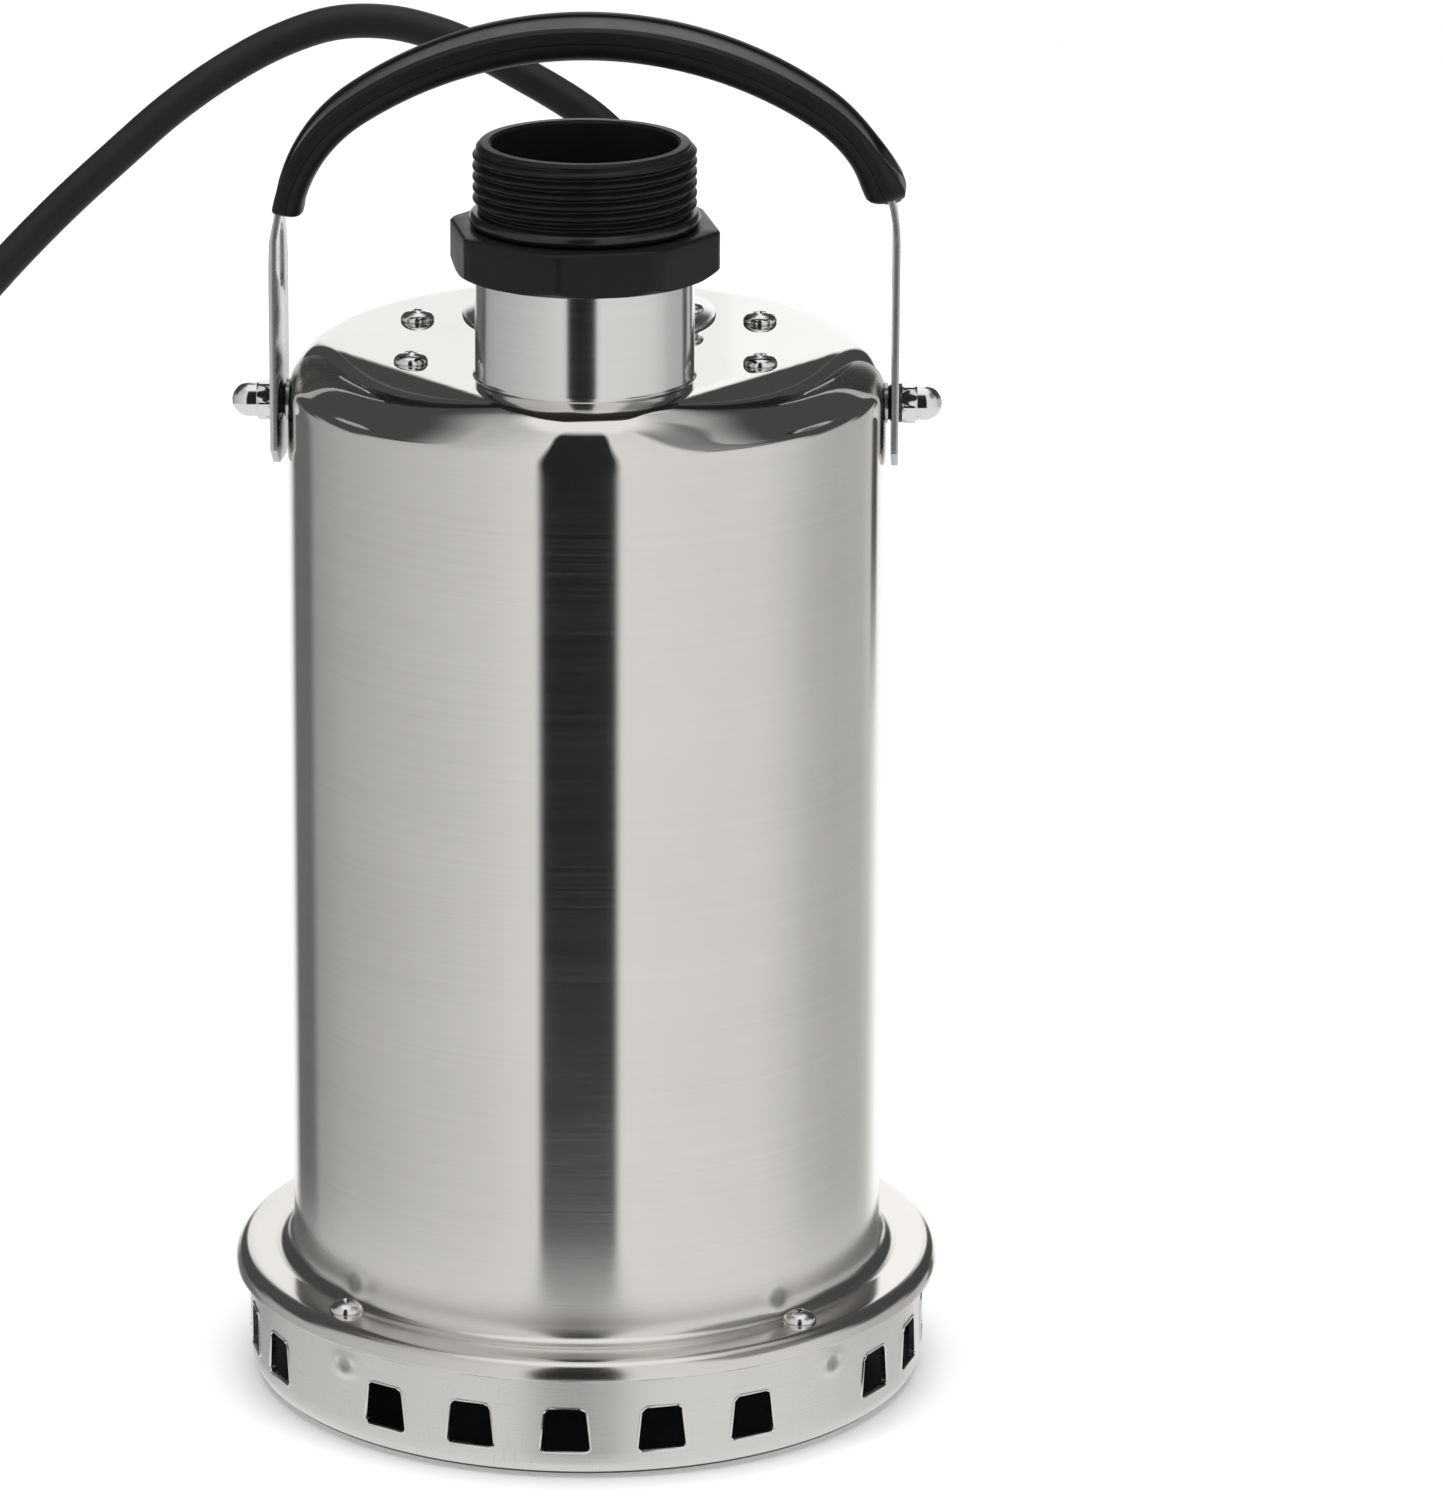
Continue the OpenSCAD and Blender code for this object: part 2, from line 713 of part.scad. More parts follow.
// Channel-shaped grip that is snapped over the strap's arch from below
function grip_section(thick, wide) = [
    [-wide / 2, 1.4], [-wide / 2 + 0.6, 2], [-strap_w / 2 + 1.2, 2],
    [-strap_w / 2 + 1.2, strap_t / 2 + 0.01], [-strap_w / 2 - 0.05, strap_t / 2 + 0.01],
    [-strap_w / 2 - 0.05, -strap_t / 2 - 0.01],
    [strap_w / 2 + 0.05, -strap_t / 2 - 0.01], [strap_w / 2 + 0.05, strap_t / 2 + 0.01],
    [strap_w / 2 - 1.2, strap_t / 2 + 0.01], [strap_w / 2 - 1.2, 2],
    [wide / 2 - 0.6, 2], [wide / 2, 1.4], [wide / 2, -thick * 0.45],
    [wide * 0.38, -thick * 0.8], [wide * 0.2, -thick], [-wide * 0.2, -thick],
    [-wide * 0.38, -thick * 0.8], [-wide / 2, -thick * 0.45]
];
module handle_grip() {
    path = arch_whole();
    n = len(path);
    first = 1;
    last = n - 2;
    points = [
        for (i = [first:last]) let (
            p = path[i],
            full = sin(180 * (i - first) / (last - first)),
            thick = 5.2 + 1.6 * full
        ) each [for (q = grip_section(thick, strap_w + 3.4))
            [p[0] + q[1] * p[2], q[0], p[1] + q[1] * p[3]]]
    ];
    sides = len(grip_section(5, 19));
    rings = last - first + 1;
    color(soft_black) polyhedron(
        points = points,
        faces = concat(
            [[for (k = [sides - 1:-1:0]) k]],
            [for (i = [0:rings - 2]) for (k = [0:sides - 1]) let (j = (k + 1) % sides)
                [i * sides + k, i * sides + j, (i + 1) * sides + j, (i + 1) * sides + k]],
            [[for (k = [0:sides - 1]) (rings - 1) * sides + k]]
        )
    );
}

// ---- Cord ----

module cord_run() {
    color(soft_black) difference() {
        sweep(run_route, cord_d / 2, cord_d / 2);
        translate([coil_x, coil_y, 0]) cylinder(r = 90, h = coil_foot + coil_h);
    }
}

module cord_coil() {
    color(soft_black) translate([coil_x, coil_y, coil_foot])
        ring(coil_r + coil_w / 2, coil_r - coil_w / 2, coil_h);
}

module coil_tie() {
    tie_t = 1.2;
    inner_w = coil_w + 0.8;
    inner_h = coil_h + 0.1;
    color("#2c2e30") translate([coil_x, coil_y, 0]) rotate([0, 0, -125])
        translate([coil_r - inner_w / 2 - tie_t, -5, 0]) difference() {
            cube([inner_w + 2 * tie_t, 10, inner_h + 2 * tie_t]);
            translate([tie_t, -1, tie_t]) cube([inner_w, 12, inner_h]);
        }
}

module cord_tail() {
    color(soft_black) difference() {
        sweep(tail_route, cord_d / 2, cord_d / 2);
        translate([coil_x, coil_y, 0]) cylinder(r = coil_r + coil_w / 2 + 0.2, h = 60);
        translate([plug_x - 20, plug_y - 100, 0]) cube([40, 100, 40]);
    }
}

// Moulded three-pin plug, lying on its side
module plug_body() {
    color(dark_plastic) difference() {
        union() {
            translate([plug_x, plug_y, plug_z]) rotate([90, 0, 0])
                cylinder(r1 = 6.2, r2 = 8.5, h = 16);
            translate([plug_x - 13.5, plug_y - plug_l, 0]) cube([27, plug_l - 14, 26]);
        }
        translate([plug_x, plug_y + 1, plug_z]) rotate([90, 0, 0]) cylinder(r = 2, h = 3);
    }
}

module plug_blades() {
    color("gold") for (x = [-6.35, 6.35])
        translate([plug_x + x - 0.75, plug_y - plug_l - 17.5, plug_z - 6.4])
            cube([1.5, 17.5, 6.4]);
}

module plug_ground_pin() {
    color("gold") translate([plug_x, plug_y - plug_l, plug_z + 8.5]) rotate([90, 0, 0])
        cylinder(d = 4.75, h = 19.7);
}

outer_shell();
shell_flange();
discharge_stub();
threaded_adapter();
outlet_oring();
strainer_base();
base_brackets();
base_screws();
top_screws();
pivot_studs();
pivot_bushes();
lock_washers();
cap_nuts();
cable_cover();
cable_cover_screws();
gland_nut();
gland_bush();
strain_relief();
motor_can();
upper_cover();
lower_cover();
cover_orings();
stator_core();
stator_windings();
capacitor();
upper_bearing();
lower_bearing();
oil_chamber();
seal_seat();
diffuser();
suction_plate();
wear_ring();
casing_screws();
motor_shaft();
rotor_core();
seal_head();
seal_spring();
impeller();
impeller_nut();
handle_strap();
handle_grip();
cord_run();
cord_coil();
coil_tie();
cord_tail();
plug_body();
plug_blades();
plug_ground_pin();
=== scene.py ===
import math

import bmesh
import bpy
from mathutils import Matrix, Vector


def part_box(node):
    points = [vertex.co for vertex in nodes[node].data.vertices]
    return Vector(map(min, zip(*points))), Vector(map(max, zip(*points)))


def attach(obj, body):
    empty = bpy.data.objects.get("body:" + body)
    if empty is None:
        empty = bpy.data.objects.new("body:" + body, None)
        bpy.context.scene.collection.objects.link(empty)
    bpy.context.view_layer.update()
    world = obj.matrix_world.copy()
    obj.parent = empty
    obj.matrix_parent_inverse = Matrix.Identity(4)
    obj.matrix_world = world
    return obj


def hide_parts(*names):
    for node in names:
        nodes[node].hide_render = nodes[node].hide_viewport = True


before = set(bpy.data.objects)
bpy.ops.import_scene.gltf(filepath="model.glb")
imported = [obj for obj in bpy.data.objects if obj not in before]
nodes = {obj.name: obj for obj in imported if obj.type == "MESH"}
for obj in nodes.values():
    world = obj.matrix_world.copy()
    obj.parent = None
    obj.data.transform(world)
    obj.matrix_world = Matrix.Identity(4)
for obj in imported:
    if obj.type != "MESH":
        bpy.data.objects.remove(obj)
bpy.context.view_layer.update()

mm = 0.001  # sizes below are in millimetres, and meshes are in metres
axisR = 0.001  # stands for a radius of nought, where a turned profile meets its axis
print("frame loaded:", len(nodes), "nodes")


# Meshes

def boxMm(node):
    low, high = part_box(node)
    return low / mm, high / mm


def addObject(name, mesh, sharp=38):
    mesh.shade_smooth()
    mesh.set_sharp_from_angle(angle=math.radians(sharp))
    piece = bpy.data.objects.new(name, mesh)
    bpy.context.scene.collection.objects.link(piece)
    return piece


def makeMesh(name, points, faces, sharp=38):
    mesh = bpy.data.meshes.new(name)
    mesh.from_pydata([Vector(p) * mm for p in points], [], faces)
    work = bmesh.new()
    work.from_mesh(mesh)
    bmesh.ops.remove_doubles(work, verts=work.verts, dist=0.001 * mm)
    bmesh.ops.recalc_face_normals(work, faces=work.faces)
    work.to_mesh(mesh)
    work.free()
    return addObject(name, mesh, sharp)


def bake(piece, sharp=38):
    # The evaluated mesh replaces the piece's own, and its modifiers go
    graph = bpy.context.evaluated_depsgraph_get()
    mesh = bpy.data.meshes.new_from_object(piece.evaluated_get(graph), depsgraph=graph)
    piece.modifiers.clear()
    piece.data = mesh
    mesh.shade_smooth()
    mesh.set_sharp_from_angle(angle=math.radians(sharp))
    return piece


def cutWith(piece, cutter, operation="DIFFERENCE", sharp=38):
    modifier = piece.modifiers.new("cut", "BOOLEAN")
    modifier.operation = operation
    modifier.solver = "EXACT"
    modifier.object = cutter
    bake(piece, sharp)
    bpy.data.objects.remove(cutter)
    return piece


def joined(name, pieces):
    work = bmesh.new()
    for piece in pieces:
        mesh = piece.data
        mesh.transform(piece.matrix_world)
        work.from_mesh(mesh)
        bpy.data.objects.remove(piece)
    mesh = bpy.data.meshes.new(name)
    work.to_mesh(mesh)
    work.free()
    return addObject(name, mesh)


def bevelled(piece, width, segments=2, angle=35, sharp=38):
    modifier = piece.modifiers.new("bevel", "BEVEL")
    modifier.width = width * mm
    modifier.segments = segments
    modifier.limit_method = "ANGLE"
    modifier.angle_limit = math.radians(angle)
    modifier.use_clamp_overlap = True
    return bake(piece, sharp)


def gridFaces(rows, columns, wrapRows, wrapColumns):
    faces = []
    for i in range(rows if wrapRows else rows - 1):
        for k in range(columns if wrapColumns else columns - 1):
            j, m = (i + 1) % rows, (k + 1) % columns
            faces.append((i * columns + k, i * columns + m, j * columns + m, j * columns + k))
    return faces


def turned(name, profile, centre=(0, 0), steps=192, swell=None, sharp=38):
    # A closed profile of (radius, height), turned about the upright line through centre.
    # swell(angle, radius, height) may change the radius from place to place.
    points = []
    for r, z in profile:
        for k in range(steps):
            a = 2 * math.pi * k / steps
            rr = swell(a, r, z) if swell else r
            points.append((centre[0] + rr * math.cos(a), centre[1] + rr * math.sin(a), z))
    return makeMesh(name, points, gridFaces(len(profile), steps, True, True), sharp)


def arc(cx, cz, r, fromDeg, toDeg, count=8):
    # Points of (radius, height) along part of a circle
    angles = [math.radians(fromDeg + (toDeg - fromDeg) * i / count) for i in range(count + 1)]
    return [(cx + r * math.cos(a), cz + r * math.sin(a)) for a in angles]


def rod(name, r, low, high, steps, centre=(0, 0)):
    return turned(name, [(axisR, low), (r, low), (r, high), (axisR, high)], centre, steps)


def prism(name, outline, near, far, spot, sharp=38):
    # A closed block with a flat outline, where spot(u, v, depth) gives a point
    n = len(outline)
    points = [spot(u, v, depth) for depth in (near, far) for u, v in outline]
    faces = [tuple(range(n)), tuple(range(n, 2 * n))]
    faces += [(i, (i + 1) % n, n + (i + 1) % n, n + i) for i in range(n)]
    return makeMesh(name, points, faces, sharp)


def laidAlongX(piece, x, z, side):
    # Turns a piece made upright about the Z axis so that its top points along side * X
    turn = Matrix.Rotation(side * math.pi / 2, 4, "Y")
    piece.data.transform(Matrix.Translation((x * mm, 0, z * mm)) @ turn)
    return piece


def polygonR(a, corner, sides):
    # Distance to the side of an upright polygon whose corners lie at radius corner
    half = math.pi / sides
    return corner * math.cos(half) / math.cos((a + half) % (2 * half) - half)


def swept(name, path, sections, closed=False, up=None, sharp=38, uv=False):
    # A skin through one flat section of (across, up) at each point of a path
    count, sides = len(path), len(sections[0])
    ways = []
    for i in range(count):
        before = path[i - 1] if closed else path[max(i - 1, 0)]
        after = path[(i + 1) % count] if closed else path[min(i + 1, count - 1)]
        ways.append((Vector(after) - Vector(before)).normalized())
    side = ways[0].orthogonal().normalized() if up is None else None
    points = []
    for i in range(count):
        if up is None:
            side = (side - ways[i] * side.dot(ways[i])).normalized()
            top = ways[i].cross(side)
        else:
            side = Vector(up).cross(ways[i]).normalized()
            top = ways[i].cross(side)
        points += [Vector(path[i]) + side * u + top * v for u, v in sections[i]]
    faces = gridFaces(count, sides, closed, True)
    if not closed:
        faces += [tuple(range(sides)), tuple((count - 1) * sides + k for k in range(sides))]
    return makeMesh(name, points, faces, sharp)


def circleSection(r, sides=16):
    angles = [2 * math.pi * k / sides for k in range(sides)]
    return [(r * math.cos(a), r * math.sin(a)) for a in angles]


def roundBox(w, h, power=4, sides=48):
    # A rounded rectangle: power 2 is an ellipse and more is squarer
    out = []
    for k in range(sides):
        c, s = math.cos(2 * math.pi * k / sides), math.sin(2 * math.pi * k / sides)
        u, v = (math.copysign(abs(part) ** (2 / power), part) for part in (c, s))
        out.append((w / 2 * u, h / 2 * v))
    return out


def smoothStep(t):
    t = min(max(t, 0.0), 1.0)
    return t * t * (3 - 2 * t)


def smoothPath(points, perSegment):
    # A smooth line through the points
    p = [Vector(q) for q in points]
    p = [2 * p[0] - p[1]] + p + [2 * p[-1] - p[-2]]
    out = []
    for i in range(1, len(p) - 2):
        a, b, c, d = p[i - 1:i + 3]
        for k in range(perSegment):
            t = k / perSegment
            out.append(0.5 * (2 * b + (c - a) * t + (2 * a - 5 * b + 4 * c - d) * t * t
                              + (3 * b - a - 3 * c + d) * t ** 3))
    return out + [p[-2]]


# Nodes

class Sock:
    # A node socket that does maths
    def __init__(self, tree, socket):
        self.tree, self.socket = tree, socket

    def node(self, kind, settings=None, inputs=None, out=0):
        made = self.tree.nodes.new(kind)
        for name, value in (settings or {}).items():
            if name == "stops":
                ramp = made.color_ramp.elements
                ramp[0].color, ramp[1].color = (value[0][1],) * 3 + (1,), (value[-1][1],) * 3 + (1,)
                for at, level in value[1:-1]:
                    ramp.new(at).color = (level, level, level, 1)
            else:
                setattr(made, name, value)
        for name, value in (inputs or {}).items():
            if isinstance(value, Sock):
                self.tree.links.new(value.socket, made.inputs[name])
            else:
                made.inputs[name].default_value = value
        return Sock(self.tree, made.outputs[out])

    def maths(self, operation, a, b=0.0, c=0.0):
        return self.node("ShaderNodeMath", {"operation": operation}, {0: a, 1: b, 2: c})

    def __add__(self, other):
        return self.maths("ADD", self, other)

    def __sub__(self, other):
        return self.maths("SUBTRACT", self, other)

    def __mul__(self, other):
        return self.maths("MULTIPLY", self, other)

    def __truediv__(self, other):
        return self.maths("DIVIDE", self, other)

    def __rsub__(self, other):
        return self.maths("SUBTRACT", other, self)

    __radd__ = __add__
    __rmul__ = __mul__

    def step(self, low, high):
        return self.node("ShaderNodeMapRange", {"interpolation_type": "SMOOTHSTEP"},
                         {"Value": self, "From Min": low, "From Max": high})

    def noise(self, scale, detail=2.0, roughness=0.5):
        return self.node("ShaderNodeTexNoise", {}, {"Vector": self, "Scale": scale, "Detail": detail,
                                                    "Roughness": roughness})

    def stretched(self, scale, turn=(0, 0, 0)):
        return self.node("ShaderNodeMapping", {}, {"Vector": self, "Scale": scale, "Rotation": turn})

    def mixed(self, a, b):
        # Colour a where this mask is 0, and b where it is 1
        return self.node("ShaderNodeMix", {"data_type": "RGBA"}, {"Factor": self, 6: a, 7: b}, 2)

    def bump(self, strength, distance):
        return self.node("ShaderNodeBump", {}, {"Height": self, "Strength": strength, "Distance": distance})


def placingTree():
    # One copy of a template on each point, turned outwards and by a loose turn
    tree = bpy.data.node_groups.new("placeOnPoints", "GeometryNodeTree")
    for name, kind in (("Points", "Geometry"), ("Template", "Object"), ("Face out", "Float"),
                       ("Loose turn", "Float"), ("Seed", "Int"), ("Finish", "Material")):
        tree.interface.new_socket(name, in_out="INPUT", socket_type="NodeSocket" + kind)
    tree.interface.new_socket("Pieces", in_out="OUTPUT", socket_type="NodeSocketGeometry")
    given = tree.nodes.new("NodeGroupInput").outputs
    points, template, faceOut, looseTurn, seed, finish = (Sock(tree, given[k]) for k in range(6))
    place = points.node("GeometryNodeInputPosition")
    x, y = (place.node("ShaderNodeSeparateXYZ", {}, {"Vector": place}, k) for k in range(2))
    outward = x.maths("ARCTAN2", x, y * -1.0) * faceOut
    loose = seed.node("FunctionNodeRandomValue", {"data_type": "FLOAT"}, {"Seed": seed}, 1) * looseTurn
    way = outward.node("ShaderNodeCombineXYZ", {}, {"Z": outward + loose})
    shape = template.node("GeometryNodeObjectInfo", {}, {"Object": template}, "Geometry")
    copies = points.node("GeometryNodeInstanceOnPoints", {},
                         {"Points": points, "Instance": shape, "Rotation": way})
    real = copies.node("GeometryNodeRealizeInstances", {}, {"Geometry": copies})
    painted = real.node("GeometryNodeSetMaterial", {}, {"Geometry": real, "Material": finish})
    tree.links.new(painted.socket, tree.nodes.new("NodeGroupOutput").inputs[0])
    return tree


placing = placingTree()


def placedOnPoints(name, points, template, finish, faceOut=0.0, looseTurn=0.0, seed=3):
    mesh = bpy.data.meshes.new(name)
    mesh.from_pydata([Vector(p) * mm for p in points], [], [])
    piece = bpy.data.objects.new(name, mesh)
    bpy.context.scene.collection.objects.link(piece)
    modifier = piece.modifiers.new("place", "NODES")
    modifier.node_group = placing
    values = {"Template": template, "Face out": faceOut, "Loose turn": looseTurn,
              "Seed": seed, "Finish": finish}
    for socket in placing.interface.items_tree:
        if socket.name in values:
            modifier[socket.identifier] = values[socket.name]
    bake(piece)
    bpy.data.objects.remove(template)
    return piece


# Materials

def shade(colour, factor):
    return tuple(min(c * factor, 1.0) for c in colour[:3]) + (1.0,)


def newMaterial(name, constants):
    # The material, its place socket and a function that links sockets of its shader
    material = bpy.data.materials.new(name)
    material.use_nodes = True
    tree = material.node_tree
    shader = tree.nodes["Principled BSDF"]
    for key, value in constants.items():
        shader.inputs[key].default_value = value
    place = Sock(tree, tree.nodes.new("ShaderNodeTexCoord").outputs["Object"])

    def wear(**links):
        for key, value in links.items():
            tree.links.new(value.socket, shader.inputs[key.replace("_", " ")])
    return material, place, wear


def spotMask(place, turn, r, z, size):
    # A soft mask round four spots, a quarter turn apart
    x, y, up = (place.node("ShaderNodeSeparateXYZ", {}, {"Vector": place}, k) for k in range(3))
    quarter = (place.maths("ARCTAN2", y, x) - math.radians(turn)) * (2 / math.pi) + 8.5
    along = (quarter.maths("FRACT", quarter) - 0.5) * (math.pi / 2 * r)
    rise = up - z
    away = place.maths("SQRT", along * along + rise * rise) / size
    return 1 - away.step(0.4, 1.0)


def brushedSteel(name, tint, rough, grain=0.05, smudge=0.06, scratches=0.0, grainScale=(12, 12, 2600),
                 streaks=0.0, spots=None, satinBelow=None):
    material, place, wear = newMaterial(name, {"Metallic": 1.0})
    fine = place.stretched(grainScale).noise(1.0, 4.0, 0.65)
    cloud = place.noise(38.0, 3.0)
    lines = place.stretched((90, 90, 2600), (0.5, 0.3, 0.2)).noise(1.0, 1.0).step(0.68, 0.72)
    cross = place.stretched((2400, 150, 150), (0.2, 0.6, 0.9)).noise(1.0, 1.0).step(0.70, 0.74)
    marks = (lines + cross) * scratches
    tone = (fine * 0.55 + cloud * 0.45).mixed(shade(tint, 0.90), shade(tint, 1.08))
    relief = fine * 0.6 + marks
    if satinBelow:
        # Satin at the foot and bright on the pressed top
        up = place.node("ShaderNodeSeparateXYZ", {}, {"Vector": place}, 2)
        plain = 1 - up.step(0.221, 0.227)
        fine, relief = (fine - 0.5) * plain + 0.5, relief * plain
        wall = up.step((satinBelow - 1) * mm, (satinBelow + 2) * mm)
        dull = (1 - up.step(satinBelow * mm, (satinBelow + 24) * mm)) * 0.14
        dull = dull + (1 - up.step(satinBelow * mm, (satinBelow + 10) * mm)) * 0.22
        dull = dull * wall + (1 - wall) * 0.06
        rough = dull + plain * 0.045 + (rough - 0.045)
    roughness = (fine - 0.5) * grain + (cloud - 0.5) * smudge + marks * 0.25 + rough
    if spots:
        spot = spotMask(place, *spots)
        tone = (spot * 0.75).mixed(tone, shade(tint, 0.45))
        roughness = roughness + spot * 0.2
    wear(Base_Color=tone, Roughness=roughness, Metallic=1 - fine.step(0.35, 0.75) * streaks,
         Normal=relief.bump(min(1.5 * grain, 0.3), 0.00002))
    return material


def rubber(name, colour, rough, bumpSize=0.00003, scale=1600.0, gloss=0.22):
    material, place, wear = newMaterial(name, {"IOR": 1.5, "Specular IOR Level": gloss})
    pores = place.noise(scale, 3.0, 0.6)
    dust = place.noise(60.0, 4.0, 0.65)
    wear(Base_Color=(dust * 0.6 + pores * 0.4).mixed(shade(colour, 0.75), shade(colour, 1.5)),
         Roughness=(dust - 0.5) * 0.22 + (pores - 0.5) * 0.08 + rough,
         Normal=pores.bump(0.35, bumpSize))
    return material


def cast(name, colour, rough, metallic=1.0):
    material, place, wear = newMaterial(name, {"Metallic": metallic})
    grit = place.noise(900.0, 4.0, 0.7)
    patches = place.noise(45.0, 3.0)
    wear(Base_Color=(grit * 0.4 + patches * 0.6).mixed(shade(colour, 0.8), shade(colour, 1.15)),
         Roughness=(grit - 0.5) * 0.2 + rough,
         Normal=grit.bump(0.5, 0.00008))
    return material


def wound(name, colour):
    # Enamelled wire laid side by side
    material, place, wear = newMaterial(name, {"Metallic": 0.85, "Coat Weight": 0.6, "Coat Roughness": 0.2})
    wire = place.node("ShaderNodeTexWave", {"wave_type": "RINGS", "rings_direction": "Z"},
                      {"Vector": place, "Scale": 320.0, "Distortion": 2.0, "Detail": 2.0}, 1)
    wear(Base_Color=wire.mixed(shade(colour, 0.5), shade(colour, 1.2)),
         Roughness=wire * -0.2 + 0.45, Normal=wire.bump(0.6, 0.0003))
    return material


def laminated(name, colour):
    # Thin stamped sheets stacked along the shaft
    material, place, wear = newMaterial(name, {"Metallic": 0.9})
    sheets = place.node("ShaderNodeTexWave", {"bands_direction": "Z"}, {"Vector": place, "Scale": 320.0}, 1)
    stain = place.noise(60.0, 3.0)
    wear(Base_Color=(sheets * 0.6 + stain * 0.4).mixed(shade(colour, 0.6), shade(colour, 1.15)),
         Roughness=stain * 0.2 + 0.38, Normal=sheets.bump(0.5, 0.0001))
    return material


steelTint = (0.83, 0.805, 0.775)
finishes = {
    "shell": brushedSteel("polishedShell", steelTint, 0.09, grain=0.03, smudge=0.02, streaks=0.02,
                          spots=(-49.5, 0.0665, 0.0326, 0.0034), satinBelow=30),
    "stub": brushedSteel("polishedStub", (0.83, 0.82, 0.80), 0.14, grain=0.06, smudge=0.04, streaks=0.02),
    "strainer": brushedSteel("satinStrainer", (0.80, 0.785, 0.76), 0.27, grain=0.12, smudge=0.14,
                             scratches=0.6, spots=(-133.5, 0.0755, 0.018, 0.0026)),
    # The strainer's inside walls and floor, painted near black as shade
    "strainerShadeInside": brushedSteel("paintedShadeStrainerInside", (0.05, 0.05, 0.05), 0.5),
    "burr": brushedSteel("slotBurr", (0.86, 0.85, 0.83), 0.2, scratches=0.3),
    "strap": brushedSteel("satinStrap", (0.66, 0.66, 0.655), 0.26, grain=0.1, smudge=0.08, scratches=0.3,
                          grainScale=(60, 3000, 60)),
    "screw": brushedSteel("platedScrew", (0.88, 0.87, 0.86), 0.14, grain=0.06, smudge=0.1, scratches=0.2),
    "nut": brushedSteel("polishedNut", (0.86, 0.86, 0.86), 0.1, grain=0.04, smudge=0.08),
    "washer": brushedSteel("darkWasher", (0.09, 0.09, 0.095), 0.35, scratches=0.4),
    "plainSteel": brushedSteel("turnedSteel", (0.62, 0.62, 0.63), 0.24, scratches=0.3),
    "adapter": rubber("mouldedAdapter", (0.006, 0.006, 0.0065), 0.34, 0.00002, 2400.0),
    "oring": rubber("glossRing", (0.006, 0.006, 0.006), 0.22, 0.00001, 3000.0, gloss=0.6),
    "grip": rubber("gripRubber", (0.007, 0.007, 0.007), 0.40, 0.00004, 1900.0),
    "rubber": rubber("plainRubber", (0.006, 0.006, 0.0065), 0.5),
    "cord": rubber("cordJacket", (0.012, 0.012, 0.0125), 0.46, 0.00003, 1700.0),
    "plug": rubber("plugBody", (0.010, 0.010, 0.010), 0.42, 0.00005, 1500.0),
    "tie": rubber("tieStrap", (0.016, 0.016, 0.017), 0.62, 0.00012, 900.0),
    "plastic": rubber("mouldedPlastic", (0.008, 0.008, 0.0085), 0.4),
    "castAluminium": cast("castAluminium", (0.60, 0.61, 0.62), 0.42),
    "ceramic": cast("sealCeramic", (0.80, 0.76, 0.68), 0.25, 0.0),
    "carbon": cast("sealCarbon", (0.06, 0.06, 0.065), 0.35, 0.0),
    "shellOfCapacitor": cast("capacitorCase", (0.78, 0.75, 0.68), 0.4, 0.0),
    "brass": brushedSteel("machinedBrass", (0.78, 0.60, 0.28), 0.22, scratches=0.3),
    "copper": wound("woundCopper", (0.62, 0.28, 0.12)),
    "laminations": laminated("stackedSheets", (0.30, 0.31, 0.32)),
}


def finished(piece, body, finish, stands=()):
    # Paints a piece that has no finish yet, hangs it on its body and hides the parts it stands for
    if len(piece.data.materials) < 2:
        piece.data.materials.clear()
        piece.data.materials.append(finishes[finish])
    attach(piece, body)
    if stands:
        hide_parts(*stands)
    return piece


print("materials made:", len(finishes))


# Camera

view = {"lens": 190.07, "azimuth": 1.07, "distance": 1670.3, "height": 664.4,
        "yaw": 0.051, "pitch": 17.356, "roll": 0.319}


def makeCamera():
    camera = bpy.data.cameras.new("camera")
    camera.lens = view["lens"]
    camera.sensor_width = 36
    holder = bpy.data.objects.new("camera", camera)
    a = math.radians(view["azimuth"])
    turn = (Matrix.Rotation(math.radians(view["yaw"]), 4, "Z")
            @ Matrix.Rotation(math.radians(90 - view["pitch"]), 4, "X")
            @ Matrix.Rotation(math.radians(view["roll"]), 4, "Z"))
    spot = Vector((view["distance"] * math.sin(a), -view["distance"] * math.cos(a), view["height"])) * mm
    holder.matrix_world = Matrix.Translation(spot) @ turn
    bpy.context.scene.collection.objects.link(holder)
    bpy.context.scene.camera = holder


makeCamera()


# Cord

cord = {
    "d": 7.7, "sides": 20,
    "run": [
        (13.5, 34, 241), (13.5, 34, 247), (13.2, 34, 254), (11.8, 34.5, 261), (9, 35.5, 267.5),
        (4.5, 36.5, 273), (-1, 38, 277.5), (-7.5, 39.5, 281.5), (-15, 41, 285.5), (-24, 43, 290),
        (-34, 44.5, 293.8), (-45, 46, 296), (-57, 46.5, 295.5), (-69, 46, 291.5), (-81, 45, 285),
        (-93, 44, 276.5), (-105, 43, 266), (-118, 42, 254), (-131, 41.5, 240.5), (-145, 42, 224),
        (-158, 43, 206), (-169, 44.5, 186.5), (-178, 46.5, 166), (-186, 48.5, 145),
        (-194, 50.5, 124), (-203, 52.5, 103.5), (-214, 54.5, 84.5), (-228, 56, 67),
        (-245, 56.5, 53), (-262, 53.5, 42), (-278, 46.5, 33.5), (-291, 35, 28.5)],
    "tail": [(-316.4, 23.8, 5.3), (-322.4, 13.4, 6.5), (-326.9, 4.6, 8.4), (-330, -4.5, 10.6),
             (-331.4, -14, 12.4), (-331.5, -22, 13), (-331.5, -30, 13)],
    "leaves": 150,
    "pitch": 7.72, "rows": 4, "columns": 5, "jog": 60, "perTurn": 48,
}


